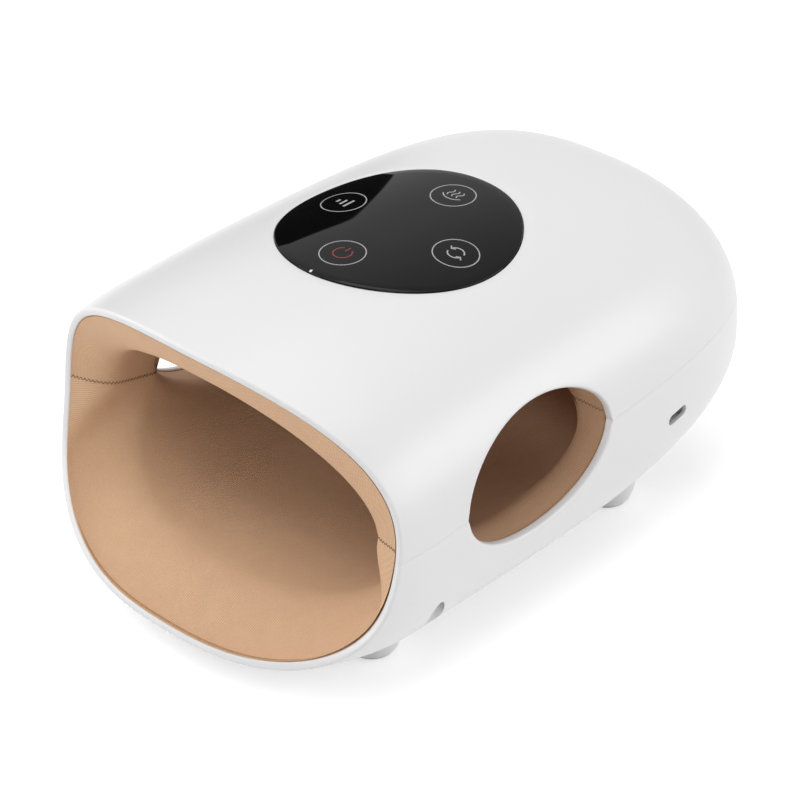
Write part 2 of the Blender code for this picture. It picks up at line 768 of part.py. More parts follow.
def curved_slab(name, angles, ys, inner_grow, thick, chambers=0):
    """A pad that hugs the pocket over a span of angles, full in its chambers and thin at the welds."""
    across_steps = 10
    along_steps = 8 if chambers else 5
    edge_share = 0.14
    rings = []
    for row in range(along_steps + 1):
        along = row / along_steps
        y = ys[0] + (ys[1] - ys[0]) * along
        inner, outer = [], []
        for step in range(across_steps + 1):
            across = step / across_steps
            angle = math.radians(angles[0] + (angles[1] - angles[0]) * across)
            in_chamber = (along * chambers) % 1 if 0 < along < 1 else 0
            weld = max(abs(2 * across - 1), abs(2 * in_chamber - 1))
            lift = thick * (edge_share + (1 - edge_share) * (1 - weld**4)) if chambers else thick
            sizes = (POCKET_WIDTH / 2, POCKET_RISE, POCKET_DROP)
            inner.append(section_point(angle, y, [size + inner_grow for size in sizes]))
            outer.append(section_point(angle, y, [size + inner_grow + lift for size in sizes]))
        rings.append(inner + list(reversed(outer)))
    return skin(name, rings, flat_ends=True)


BAG_DEPTH = 0.0370
BAG_SETBACK = 0.0240
BAG_YS = (MOUTH_Y + BAG_DEPTH, POCKET_END_Y - BAG_SETBACK)
NOZZLE_PROUD = 0.0075
NOZZLE_END_Y = POCKET_END_Y + NOZZLE_PROUD


def add_nozzle(bag, level):
    """A short pipe from the bag's rear chamber out through the frame."""
    place = nozzle_place(level)
    start = BAG_YS[1] - (BAG_YS[1] - BAG_YS[0]) * 0.2
    place.y = (start + NOZZLE_END_Y) / 2
    pipe = rod(f"{level}_bag_nozzle", AIR_NOZZLE / 2, NOZZLE_END_Y - start, place, 10, "Y")
    join(bag, as_cutter(pipe))


def make_bags():
    """A two-chamber air bag over the hand, and one below it under the heating film."""
    top_angles = (56, 124)
    belly_angles = (-126, -54)
    base = FABRIC + GAP
    upper = keep(curved_slab("air_bag_upper", top_angles, BAG_YS, base, TOP_BAG, 2), AIR_BAG_FILM)
    add_nozzle(upper, "upper")
    keep(curved_slab("heating_film", belly_angles, BAG_YS, base, HEAT_FILM), CARBON_FILM)
    lower_base = base + HEAT_FILM + GAP
    lower = keep(curved_slab("air_bag_lower", belly_angles, BAG_YS, lower_base, BELLY_BAG, 2), AIR_BAG_FILM)
    add_nozzle(lower, "lower")


make_frames()
make_linings()
make_bags()

# The battery: two cells side by side in a tray behind the pocket
CELL_ACROSS = 0.0184
CELL_LONG = 0.0650
PITCH = CELL_ACROSS + 2 * GAP


def cell_centres():
    for number, sign in enumerate((-1, 1), start=1):
        z = TRAY_Z + GAP + TRAY_WALL + GAP + CELL_ACROSS / 2
        yield f"battery_cell_{number}", Vector((0, TRAY_Y + sign * PITCH / 2, z)), sign


def make_battery_tray():
    """An open tray with low cheeks and a keel between the cells."""
    cheek_tall = CELL_ACROSS * 0.55
    floor_z = TRAY_Z + GAP
    outer_size = (TRAY_LONG, TRAY_DEEP, TRAY_WALL + cheek_tall)
    tray = block("battery_tray", outer_size, (0, TRAY_Y, floor_z + outer_size[2] / 2))
    room_size = (TRAY_LONG - 2 * TRAY_WALL, TRAY_DEEP + OVERRUN, cheek_tall * 2)
    room = block("tray_room", room_size, (0, TRAY_Y, floor_z + TRAY_WALL + cheek_tall))
    cut(tray, as_cutter(room))
    return keep(tray, BLACK_PLASTIC)


def make_cell(name, centre, sign):
    """A round cell with a rolled shoulder and a raised positive cap."""
    radius = CELL_ACROSS / 2
    half = CELL_LONG / 2
    cap_radius = 0.0028
    cap_tall = 0.0010
    round_off = 0.0008
    outline = [
        (0, half),
        (cap_radius, half),
        (cap_radius, half - cap_tall),
        (radius - round_off, half - cap_tall),
        (radius, half - cap_tall - round_off),
        (radius, -half + round_off),
        (radius - round_off, -half),
        (0, -half),
    ]
    cell = turned(name, outline, 20)
    cell.location = centre
    cell.rotation_euler.y = sign * math.pi / 2
    return keep(cell, CELL_WRAP)


make_battery_tray()
for cell_name, cell_centre, cell_sign in cell_centres():
    make_cell(cell_name, cell_centre, cell_sign)

# The air pump lies on a foam cushion over the cells, its shaft along X
PUMP_SETBACK = 0.0030
PUMP_Y = TRAY_Y + PUMP_SETBACK
MOTOR_RADIUS = 0.0122
MOTOR_LONG = 0.0308
PUMP_RADIUS = 0.0133
CUSHION_THICK = 0.0030
PUMP_X = -0.0150
CELL_TOP_Z = TRAY_Z + 2 * GAP + TRAY_WALL + CELL_ACROSS
PUMP_Z = CELL_TOP_Z + GAP + CUSHION_THICK + GAP + PUMP_RADIUS
SHAFT_RADIUS = 0.0010
THROW = 0.0020
COVER_TOP = 0.0205
PUMP_NOZZLE_TIP = 0.0275
MANIFOLD_X = 0.0290
MANIFOLD_SETBACK = 0.0010
MANIFOLD_Y = TRAY_Y - MANIFOLD_SETBACK
MANIFOLD_SIZE = (0.0330, 0.0100, 0.0080)
CRANK_RADIUS = 0.0008


def on_pump_axis(piece, look):
    """Lay a piece turned about Z along the pump's shaft, with its origin on the shaft."""
    piece.location = (PUMP_X, PUMP_Y, PUMP_Z)
    piece.rotation_euler.y = math.pi / 2
    return keep(piece, look)


def make_pump_cushion():
    """A foam strip over the cells with a hollow bed for the pump, level under the valves."""
    cheek = 0.0060
    left = PUMP_X - MOTOR_LONG * 0.8
    right = MANIFOLD_X + MANIFOLD_SIZE[0] / 2
    bed_end = PUMP_X + COVER_TOP + OVERRUN
    size = (right - left, 2 * PUMP_RADIUS, CUSHION_THICK + cheek)
    low = CELL_TOP_Z + GAP
    cushion = block("pump_cushion", size, ((left + right) / 2, PUMP_Y, low + size[2] / 2))
    bed = rod("pump_bed", PUMP_RADIUS + GAP, LENGTH, (PUMP_X, PUMP_Y, PUMP_Z), 40, "X")
    level_z = low + CUSHION_THICK
    step = block("cushion_step", (WIDTH, WIDTH, WIDTH), (bed_end + WIDTH / 2, PUMP_Y, level_z + WIDTH / 2))
    cut(cushion, as_cutter(bed), as_cutter(step))
    return keep(cushion, BLACK_PLASTIC)


CAN_WALL = 0.0010
CAP_THICK = 0.0025
BEARING_BOSS = 0.0030


def make_motor_can():
    """A drawn steel cup with a bearing boss round the shaft's hole, open at its rear."""
    boss_tall = 0.0015
    bore = SHAFT_RADIUS + GAP
    outline = [
        (bore, boss_tall),
        (BEARING_BOSS, boss_tall),
        (BEARING_BOSS, 0),
        (MOTOR_RADIUS, 0),
        (MOTOR_RADIUS, -MOTOR_LONG),
        (MOTOR_RADIUS - CAN_WALL, -MOTOR_LONG),
        (MOTOR_RADIUS - CAN_WALL, -CAN_WALL),
        (bore, -CAN_WALL),
    ]
    return on_pump_axis(turned("motor_can", outline, 20, closed=True), ZINC_STEEL)


def make_motor_cap():
    """The moulded end cap that closes the can and holds the rear bearing and the brushes."""
    radius = MOTOR_RADIUS - CAN_WALL - GAP
    rear = -MOTOR_LONG
    front = rear + CAP_THICK
    bearing = front + BEARING_BOSS / 2
    bore = SHAFT_RADIUS + GAP
    outline = [
        (0, front),
        (bore, front),
        (bore, bearing),
        (BEARING_BOSS, bearing),
        (BEARING_BOSS, front),
        (radius, front),
        (radius, rear),
        (0, rear),
    ]
    return on_pump_axis(turned("motor_cap", outline, 20), BLACK_PLASTIC)


def make_rotor():
    """The armature on its shaft, and the eccentric that the shaft turns, with its crank pin."""
    nose = 0.0050
    tail = MOTOR_LONG - CAP_THICK - GAP
    commutator = 0.0032
    stack = (MOTOR_RADIUS - CAN_WALL) * 0.76
    stack_ends = (-MOTOR_LONG * 0.18, -MOTOR_LONG * 0.66)
    outline = [
        (0, nose),
        (SHAFT_RADIUS, nose),
        (SHAFT_RADIUS, stack_ends[0]),
        (stack, stack_ends[0]),
        (stack, stack_ends[1]),
        (commutator, stack_ends[1]),
        (commutator, stack_ends[1] - commutator),
        (SHAFT_RADIUS, stack_ends[1] - commutator),
        (SHAFT_RADIUS, -tail),
        (0, -tail),
    ]
    on_pump_axis(turned("motor_shaft", outline, 18), BARE_STEEL)
    low = 0.0023
    high = 0.0070
    tip = 0.0100
    radius = 0.0055
    bore = SHAFT_RADIUS + GAP
    floor = nose + GAP
    outline = [(0, high), (radius, high), (radius, low), (bore, low), (bore, floor), (0, floor)]
    eccentric = turned("eccentric", outline, 20)
    pin_size = tip - floor - GAP
    pin = rod("crank_pin", CRANK_RADIUS, pin_size, (0, 0, 0), 12)
    pin.data.transform(Matrix.Translation((THROW, 0, tip - pin_size / 2)))
    pin.location = (PUMP_X, PUMP_Y, PUMP_Z)
    pin.rotation_euler.y = math.pi / 2
    on_pump_axis(eccentric, BLACK_PLASTIC)
    join(eccentric, as_cutter(pin))


PUMP_FLOOR = (0.0003, 0.0020)
EYE_RADIUS = 0.0040
CHAMBER_RADIUS = 0.0075
WIDE_RADIUS = 0.0104
PUMP_STEP = 0.0104
PUMP_RIM = 0.0130
ROCKER_TOP = 0.0122


def make_pump_base():
    """The cup round the eccentric, wider above where the rocker's arms swing."""
    outline = [
        (WIDE_RADIUS, PUMP_RIM),
        (PUMP_RADIUS, PUMP_RIM),
        (PUMP_RADIUS, PUMP_FLOOR[0]),
        (EYE_RADIUS, PUMP_FLOOR[0]),
        (EYE_RADIUS, PUMP_FLOOR[1]),
        (CHAMBER_RADIUS, PUMP_FLOOR[1]),
        (CHAMBER_RADIUS, PUMP_STEP),
        (WIDE_RADIUS, PUMP_STEP),
    ]
    return on_pump_axis(turned("pump_base", outline, 20, closed=True), NATURAL_PLASTIC)


def make_rocker():
    """A hub with three arms: the crank pin drives its socket, and each arm works a cup."""
    socket = THROW + CRANK_RADIUS + GAP
    hub = 0.0046
    low = 0.0078
    roof = PUMP_STEP
    top = ROCKER_TOP
    arm_reach = WIDE_RADIUS - 2 * GAP
    arm_wide = 0.0034
    arm_tall = top - roof - 2 * GAP
    outline = [(0, top), (hub, top), (hub, low), (socket, low), (socket, roof), (0, roof)]
    rocker = turned("pump_rocker", outline, 18)
    on_pump_axis(rocker, BLACK_PLASTIC)
    for number in range(3):
        arm = block(f"rocker_arm_{number}", (arm_reach, arm_wide, arm_tall), (0, 0, 0))
        arm.data.transform(Matrix.Translation((arm_reach / 2 - GAP, 0, top - GAP - arm_tall / 2)))
        arm.data.transform(Matrix.Rotation(2 * math.pi * number / 3, 4, "Z"))
        arm.location = rocker.location
        arm.rotation_euler = rocker.rotation_euler
        join(rocker, as_cutter(arm))


DIAPHRAGM = (0.0133, 0.0145)


def make_diaphragm():
    """A rubber sheet between base and cover, with three cups toward the rocker's arms."""
    cup_radius = 0.0026
    cup_place = 0.0066
    cup_tall = DIAPHRAGM[0] - ROCKER_TOP - GAP
    radius = PUMP_RADIUS
    outline = [(0, DIAPHRAGM[1]), (radius, DIAPHRAGM[1]), (radius, DIAPHRAGM[0]), (0, DIAPHRAGM[0])]
    sheet = on_pump_axis(turned("pump_diaphragm", outline, 20), RUBBER_GREY)
    for number in range(3):
        cup = rod(f"cup_{number}", cup_radius, cup_tall * 2, (0, 0, 0), 14)
        cup.data.transform(Matrix.Translation((cup_place, 0, DIAPHRAGM[0])))
        cup.data.transform(Matrix.Rotation(2 * math.pi * number / 3, 4, "Z"))
        cup.location = sheet.location
        cup.rotation_euler = sheet.rotation_euler
        join(sheet, as_cutter(cup))


NOZZLE_RADIUS = 0.0020
NOZZLE_BORE = 0.0011


def make_pump_cover():
    """The outlet cover: a shallow cup with a hose nozzle on the shaft's line."""
    low = DIAPHRAGM[1] + GAP
    roof = COVER_TOP - 0.0020
    inner = PUMP_RADIUS - 0.0020
    flange = 0.0004
    outline = [
        (NOZZLE_BORE, PUMP_NOZZLE_TIP),
        (NOZZLE_RADIUS - flange, PUMP_NOZZLE_TIP),
        (NOZZLE_RADIUS, PUMP_NOZZLE_TIP - 3 * flange),
        (NOZZLE_RADIUS - flange, PUMP_NOZZLE_TIP - 4 * flange),
        (NOZZLE_RADIUS - flange, COVER_TOP),
        (PUMP_RADIUS, COVER_TOP),
        (PUMP_RADIUS, low),
        (inner, low),
        (inner, roof),
        (NOZZLE_BORE, roof),
    ]
    return on_pump_axis(turned("pump_cover", outline, 20, closed=True), NATURAL_PLASTIC)


make_pump_cushion()
make_motor_can()
make_motor_cap()
make_rotor()
make_pump_base()
make_rocker()
make_diaphragm()
make_pump_cover()


# Air path: a manifold on the cushion carries the two solenoid valves
MANIFOLD_LOW = CELL_TOP_Z + GAP + CUSHION_THICK + GAP
MANIFOLD_TOP = MANIFOLD_LOW + MANIFOLD_SIZE[2]
INLET_X = 0.0205
VALVE_XS = {"upper": 0.0285, "lower": 0.0395}
INLET_TALL = 0.0045
OUTLET_LONG = 0.0060
HOSE_RADIUS = 0.0020
WELL_RADIUS = 0.0028
WELL_DEEP = 0.0032
YOKE = (0.0104, 0.0090, 0.0130)
YOKE_WALL = 0.0010
PLUNGER_RADIUS = 0.0020
PLUNGER_LONG = 0.0112
VALVE_TRAVEL = 0.0010
OUTLET_Z = MANIFOLD_LOW + MANIFOLD_SIZE[2] * 0.42


def make_manifold():
    """A plastic block with the inlet on top, two wells for the plungers and two outlets in front."""
    centre = (MANIFOLD_X, MANIFOLD_Y, MANIFOLD_LOW + MANIFOLD_SIZE[2] / 2)
    manifold = keep(block("air_manifold", MANIFOLD_SIZE, centre), NATURAL_PLASTIC)
    sunk = MANIFOLD_SIZE[2] / 4
    inlet_centre = (INLET_X, MANIFOLD_Y, MANIFOLD_TOP + (INLET_TALL - sunk) / 2)
    join(manifold, as_cutter(rod("manifold_inlet", NOZZLE_RADIUS, INLET_TALL + sunk, inlet_centre, 12)))
    front = MANIFOLD_Y - MANIFOLD_SIZE[1] / 2
    for level, x in VALVE_XS.items():
        outlet_centre = (x, front - (OUTLET_LONG - sunk) / 2, OUTLET_Z)
        outlet = rod(f"outlet_{level}", NOZZLE_RADIUS, OUTLET_LONG + sunk, outlet_centre, 12, "Y")
        join(manifold, as_cutter(outlet))
        well = rod(f"well_{level}", WELL_RADIUS, 2 * WELL_DEEP, (x, MANIFOLD_Y, MANIFOLD_TOP), 16)
        cut(manifold, as_cutter(well))


def make_valve(level, x):
    """Steel yoke round a wound coil, with a sprung plunger that closes the manifold's well."""
    low = MANIFOLD_TOP + GAP
    yoke = block(f"valve_yoke_{level}", YOKE, (x, MANIFOLD_Y, low + YOKE[2] / 2))
    window_size = (YOKE[0] - 2 * YOKE_WALL, YOKE[1] + OVERRUN, YOKE[2] - 2 * YOKE_WALL)
    window = block(f"yoke_window_{level}", window_size, (x, MANIFOLD_Y, low + YOKE[2] / 2))
    eye = rod(f"yoke_eye_{level}", PLUNGER_RADIUS + GAP, 4 * YOKE_WALL, (x, MANIFOLD_Y, low), 16)
    keep(cut(yoke, as_cutter(window), as_cutter(eye)), ZINC_STEEL)
    flange = 0.0006
    radius = window_size[0] / 2 - GAP
    bore = PLUNGER_RADIUS + GAP
    tall = window_size[2] - 2 * GAP
    outline = [
        (bore, tall),
        (radius, tall),
        (radius, tall - flange),
        (radius - flange, tall - flange),
        (radius - flange, flange),
        (radius, flange),
        (radius, 0),
        (bore, 0),
    ]
    coil = turned(f"valve_coil_{level}", outline, 16, closed=True)
    coil.location = (x, MANIFOLD_Y, low + YOKE_WALL + GAP)
    keep(coil, COPPER_WIRE)
    tip = 0.0005
    seat = MANIFOLD_TOP - WELL_DEEP + GAP
    outline = [
        (0, PLUNGER_LONG),
        (PLUNGER_RADIUS, PLUNGER_LONG),
        (PLUNGER_RADIUS, tip),
        (PLUNGER_RADIUS - tip, 0),
        (0, 0),
    ]
    plunger = turned(f"valve_plunger_{level}", outline, 14)
    plunger.location = (x, MANIFOLD_Y, seat)
    keep(plunger, BARE_STEEL)
    make_valve_spring(level, x, seat + PLUNGER_LONG + GAP, low + YOKE[2] - YOKE_WALL - GAP)


def make_valve_spring(level, x, low, high):
    """A small open coil between the plunger's top and the yoke, ending in flat turns' wire."""
    turns = 3
    points_a_turn = 6
    wire = 0.00018
    radius = PLUNGER_RADIUS - 2 * wire
    rise = high - low - 2 * wire
    route = []
    for k in range(turns * points_a_turn + 1):
        angle = 2 * math.pi * k / points_a_turn
        z = low + wire + rise * k / (turns * points_a_turn)
        route.append((x + radius * math.cos(angle), MANIFOLD_Y + radius * math.sin(angle), z))
    keep(tube(f"valve_spring_{level}", route, wire, 0), BARE_STEEL)


def make_hoses():
    """Silicone hoses: pump to manifold, and manifold to each air bag."""
    lead_in = 0.0030
    rise = 0.0060
    start = Vector((PUMP_X + PUMP_NOZZLE_TIP + GAP, PUMP_Y, PUMP_Z))
    end = Vector((INLET_X, MANIFOLD_Y, MANIFOLD_TOP + INLET_TALL + GAP))
    crown = start.z + rise
    corner = start + Vector((lead_in, 0, 0))
    route = bend([start, corner, Vector((corner.x, PUMP_Y, crown)), Vector((end.x, end.y, crown)), end], lead_in)
    keep(tube("hose_supply", route, HOSE_RADIUS, 1), SILICONE)
    fall_y = NOZZLE_END_Y + 1.4 * HOSE_RADIUS
    for level, x in VALVE_XS.items():
        start = Vector((x, MANIFOLD_Y - MANIFOLD_SIZE[1] / 2 - OUTLET_LONG - GAP, OUTLET_Z))
        end = nozzle_place(level)
        end.y = NOZZLE_END_Y + GAP
        halfway = start.z + (end.z - start.z) * 0.45
        turns = [Vector((x, fall_y, start.z)), Vector((x, fall_y, halfway)), Vector((end.x, fall_y, end.z))]
        keep(tube(f"hose_{level}", bend([start, *turns, end], 4 * HOSE_RADIUS), HOSE_RADIUS, 1), SILICONE)


# Electronics: the main board on the frame's rear wall, its buzzer, and the charging board
BOARD = (0.0440, 0.0016, 0.0400)
BOARD_SETBACK = 0.0065
BOARD_CENTRE = (-0.0180, POCKET_END_Y + BOARD_SETBACK, 0.0660)
BUZZER_RADIUS = 0.0045
BUZZER_TALL = 0.0045


def make_main_board():
    """The controller board with its chip, driver and battery connector."""
    board = keep(block("main_board", BOARD, BOARD_CENTRE), BOARD_GREEN)
    face = BOARD_CENTRE[1] + BOARD[1] / 2
    tall = 0.0018
    for number, (x_share, z_share, wide_share) in enumerate(((-0.22, 0.12, 0.24), (0.2, 0.28, 0.14), (0.24, -0.3, 0.2))):
        wide = BOARD[0] * wide_share
        centre = (BOARD_CENTRE[0] + BOARD[0] * x_share, face + tall / 4, BOARD_CENTRE[2] + BOARD[2] * z_share)
        join(board, as_cutter(block(f"board_chip_{number}", (wide, 1.5 * tall, wide * 0.8), centre)))


def make_buzzer():
    """A round sounder with its hole, on the board's lower left."""
    hole = 0.0010
    outline = [(0, BUZZER_TALL / 2), (hole, BUZZER_TALL / 2), (hole, BUZZER_TALL), (BUZZER_RADIUS, BUZZER_TALL)]
    outline += [(BUZZER_RADIUS, 0), (0, 0)]
    buzzer = turned("buzzer", outline, 20)
    x = BOARD_CENTRE[0] - BOARD[0] * 0.3
    z = BOARD_CENTRE[2] - BOARD[2] * 0.28
    buzzer.location = (x, BOARD_CENTRE[1] + BOARD[1] / 2 + GAP, z)
    buzzer.rotation_euler.x = -math.pi / 2
    keep(buzzer, BLACK_PLASTIC)


def make_charging_socket():
    """The metal socket in the slot, with its tongue, on its own small board."""
    sheet = 0.0003
    socket = port_bar("charging_socket", 0, -PORT_SET_BACK, PORT_SET_BACK + PORT_DEEP)
    back = 0.0010
    hollow = port_bar("socket_hollow", -sheet, WALL, PORT_SET_BACK + PORT_DEEP - back)
    tongue_size = Matrix.Diagonal((PORT_DEEP - 2 * back, PORT_LONG * 0.72, sheet * 2.4, 1))
    tongue = block("socket_tongue", (1, 1, 1), (0, 0, 0))
    tongue.data.transform(Matrix.Translation((-PORT_SET_BACK - PORT_DEEP / 2 - back / 2, 0, 0)) @ tongue_size)
    cut(socket, as_cutter(hollow))
    join(socket, as_cutter(at_port(tongue)))
    keep(socket, BARE_STEEL)
    board = block("charging_board", (1, 1, 1), (0, 0, 0))
    drop = -PORT_TALL / 2 - GAP - PORT_BOARD[2] / 2
    inboard = -WALL - 4 * GAP - PORT_BOARD[0] / 2
    board.data.transform(Matrix.Translation((inboard, 0, drop)) @ Matrix.Diagonal((*PORT_BOARD, 1)))
    keep(at_port(board), BOARD_GREEN)


def make_touch_lead():
    """The touch board's lead, past the ribs and down behind the main board."""
    radius = 0.0008
    x = -TOUCH_BOARD_ACROSS * 0.38
    behind = BOARD_CENTRE[1] + BOARD[1] / 2 + radius + GAP
    start = Vector((x, PANEL_Y + KEY_ALONG * 0.6, TOUCH_BOARD_TOP - TOUCH_BOARD_THICK - radius - 2 * GAP))
    turn = Vector((x, behind, start.z))
    low = Vector((x, behind, BOARD_CENTRE[2] + BOARD[2] / 2 - OVERRUN))
    keep(tube("touch_lead", bend([start, turn, low], 2 * OVERRUN), radius, 0), BLACK_PLASTIC)


make_manifold()
for valve_level, valve_x in VALVE_XS.items():
    make_valve(valve_level, valve_x)
make_hoses()
make_main_board()
make_buzzer()
make_charging_socket()
make_touch_lead()
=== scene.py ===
"""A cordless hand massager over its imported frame: white housing, black panel and tan knit lining."""

import math

import bpy
import numpy as np
from mathutils import Matrix, Vector


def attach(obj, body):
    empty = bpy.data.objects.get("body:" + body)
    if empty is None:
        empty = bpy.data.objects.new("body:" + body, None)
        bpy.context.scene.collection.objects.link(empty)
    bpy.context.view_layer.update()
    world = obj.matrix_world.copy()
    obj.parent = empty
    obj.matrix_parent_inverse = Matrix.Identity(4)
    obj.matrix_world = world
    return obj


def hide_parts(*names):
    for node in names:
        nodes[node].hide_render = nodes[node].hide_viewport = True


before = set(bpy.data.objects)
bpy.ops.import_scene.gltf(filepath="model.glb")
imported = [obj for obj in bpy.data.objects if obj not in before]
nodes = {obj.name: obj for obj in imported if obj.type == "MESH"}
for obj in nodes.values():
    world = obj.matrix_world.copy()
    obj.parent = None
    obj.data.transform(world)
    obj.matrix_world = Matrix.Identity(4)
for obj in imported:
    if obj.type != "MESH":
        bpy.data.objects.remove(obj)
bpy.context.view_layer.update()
bpy.context.scene.view_settings.view_transform = "Standard"

# The camera stands in front of the mouth and to the right, a little above the object.
# Its angles, distance and lens are the ones that fit the photograph's landmarks.
azimuth = math.radians(44.4066)
elevation = math.radians(32.415)
roll = math.radians(-1.1442)
looks_at = Vector((0, 0.01055, 0.04968))
distance = 0.9551
off_axis = (-0.009027, -0.009455)
focal_pixels, picture_pixels, sensor_mm = 2974.6, 800, 36
level_way = Vector((-math.sin(azimuth), math.cos(azimuth), 0))
right = Vector((math.cos(azimuth), math.sin(azimuth), 0))
up = level_way * math.sin(elevation) + Vector((0, 0, math.cos(elevation)))
into = level_way * math.cos(elevation) - Vector((0, 0, math.sin(elevation)))
across = right * math.cos(roll) + up * math.sin(roll)
upright = up * math.cos(roll) - right * math.sin(roll)
eye = looks_at + across * off_axis[0] + upright * off_axis[1] - into * distance
bpy.ops.object.camera_add(location=eye)
camera = bpy.context.object
camera.name = "camera"
camera.rotation_euler = Matrix((across, upright, -into)).transposed().to_euler()
camera.data.sensor_width = sensor_mm
camera.data.lens = focal_pixels / picture_pixels * sensor_mm
camera.data.clip_start = 0.05
camera.data.clip_end = 20
bpy.context.scene.camera = camera

# The stage is one white sheet on a table, lit by large soft boxes from above and from all sides. It glows
# white for the camera and in reflections, and so does the room. A black card behind the object, which
# only mirrors see, darkens one corner of the glossy panel.
bpy.ops.object.select_all(action="DESELECT")
bpy.ops.mesh.primitive_plane_add(size=8, location=(0, 0, 0))
floor = bpy.context.object
floor.name = "floor"


def add_node(tree, kind, *feeds, **settings):
    """A new node: feeds go to its first inputs in turn, in_N fills input N, the rest are its fields."""
    node = tree.nodes.new(kind)
    for key, value in settings.items():
        if key.startswith("in_"):
            node.inputs[int(key[3:])].default_value = value
        else:
            setattr(node, key, value)
    for socket, feed in zip(node.inputs, feeds):
        if isinstance(feed, (int, float)):
            socket.default_value = feed
        else:
            tree.links.new(feed, socket)
    return node


def math_of(tree, operation, *feeds):
    return add_node(tree, "ShaderNodeMath", *feeds, operation=operation).outputs[0]


def seen_in_picture(tree):
    """1 for rays from the camera, mirrors and glass, else 0."""
    path = add_node(tree, "ShaderNodeLightPath")
    seen = path.outputs["Is Camera Ray"]
    for ray in ("Is Glossy Ray", "Is Transmission Ray"):
        seen = math_of(tree, "MAXIMUM", seen, path.outputs[ray])
    return seen


def set_constants(shader, constants):
    for socket, value in constants.items():
        shader.inputs[socket.replace("_", " ")].default_value = value


def new_material(name, **constants):
    made = bpy.data.materials.new(name)
    made.use_nodes = True
    shader = made.node_tree.nodes["Principled BSDF"]
    set_constants(shader, constants)
    return made, made.node_tree, shader


paper_white = {"Base_Color": (0.86, 0.86, 0.86, 1), "Emission_Color": (1, 1, 1, 1)}
paper, tree, shader = new_material("white_paper", **paper_white, Roughness=0.8, Specular_IOR_Level=0.1)
glow = math_of(tree, "MULTIPLY", seen_in_picture(tree), 0.45)
tree.links.new(glow, shader.inputs["Emission Strength"])
floor.data.materials.append(paper)

world = bpy.data.worlds.new("studio")
world.use_nodes = True
tree = world.node_tree
room = tree.nodes["Background"]
room.inputs["Color"].default_value = (1, 1, 1, 1)
level = add_node(tree, "ShaderNodeMapRange", seen_in_picture(tree), in_3=0.16, in_4=0.9)
tree.links.new(level.outputs[0], room.inputs["Strength"])
bpy.context.scene.world = world
soft_boxes = (
    ("soft_box_above", (-0.15, 0.0, 1.5), (1.6, 1.6), 12.3, (0, 0, 0)),
    ("soft_box_front", (0.15, -0.95, 1.25), (1.2, 0.7), 5.5, (0, 0, 0.05)),
    ("soft_box_right", (1.3, 0.85, 0.5), (1.2, 0.9), 10.5, (0, 0, 0.05)),
    ("soft_box_left", (-1.4, -0.3, 0.9), (1.0, 0.8), 6.5, (0, 0, 0.05)),
    ("soft_box_low_right", (1.0, -1.0, 0.35), (0.7, 0.5), 1.6, (0, -0.05, 0.05)),
    ("soft_box_low_left", (-0.9, -1.1, 0.35), (0.7, 0.5), 3.2, (0, -0.05, 0.05)),
)
for lamp_name, place, size, power, target in soft_boxes:
    bpy.ops.object.light_add(type="AREA", location=place)
    lamp = bpy.context.object
    lamp.name = lamp_name
    lamp.data.shape = "RECTANGLE"
    lamp.data.size, lamp.data.size_y = size
    lamp.data.energy = power
    lamp.rotation_euler = (Vector(target) - Vector(place)).to_track_quat("-Z", "Y").to_euler()
near_edge, far_edge = math.radians(48.5), math.radians(78)
card_top = 0.10 + math.tan(math.radians(24.2))
bpy.ops.object.select_all(action="DESELECT")
bpy.ops.mesh.primitive_plane_add(size=1)
card = bpy.context.object
card.name = "black_card"
for corner in card.data.vertices:
    turn = near_edge if corner.co.x > 0 else far_edge
    corner.co = (-math.sin(turn), math.cos(turn), card_top if corner.co.y > 0 else 0.0)
card.visible_camera = card.visible_diffuse = card.visible_shadow = False
card_black, _, _ = new_material("card_black", Base_Color=(0.004, 0.004, 0.004, 1), Roughness=0.9)
card.data.materials.append(card_black)

# The upper housing is one gloss white moulding in ABS: the dome over the hand, the upper part of the lip
# and the upper halves of both thumb holes. It meets the lower one on a line that rises to the rear.
WIDTH, HEIGHT = 0.150, 0.1087
WAIST_Z, TAIL_Y, MOUTH_Y = 0.0546, 0.108, -0.087
WALL, GAP = 0.0028, 0.0003
TOP_SQUARE, BELLY_SQUARE = 2.43, 3.1
PARTING_MIDDLE, PARTING_SLOPE = 0.0604, 0.056
THUMB_Y, THUMB_Z, THUMB_LONG, THUMB_TALL = -0.0187, 0.0600, 0.0321, 0.0209
THUMB_LEAN = math.pi * 0.034
LIP_ROUND, HOLE_ROUND, JOINT_ROUND, JOINT_GAP = 0.0009, 0.0007, 0.00007, 0.00004
HALVINGS, CROWN_HALVINGS = 45, 60
TAIL_BLUNT, LINE_STEPS = 4.4, 400


def swell(y, mouth, full, crest, falls):
    """Half size of the body at y: it grows from the mouth to its crest, then rounds off to the tail."""
    ahead = np.clip((crest - y) / (crest - MOUTH_Y), 0, None)
    along = np.clip((y - crest) / (TAIL_Y - crest), 0, 1)
    behind = full * (1 - along ** falls[0]) ** (1 / falls[1])
    return np.where(y < crest, full - (full - mouth) * ahead**2, behind)


def body_sizes(y):
    """Half width, rise above the waist and drop below it."""
    wide = swell(y, 0.0716, WIDTH / 2, -0.0667, (5.0, 4.7))
    rise = swell(y, 0.0498, HEIGHT - WAIST_Z, -0.0122, (3.2, 4.25))
    drop = swell(y, 0.0470, 0.0488, -0.0598, (3.6, 1.75))
    return wide, rise, drop


def arch(angle, top_square=TOP_SQUARE):
    """A point of the unit section: rounder above the waist than below it."""
    square = np.where(np.sin(angle) >= 0, top_square, BELLY_SQUARE)
    side = np.sign(np.cos(angle)) * np.abs(np.cos(angle)) ** (2 / square)
    high = np.sign(np.sin(angle)) * np.abs(np.sin(angle)) ** (2 / square)
    return side, high


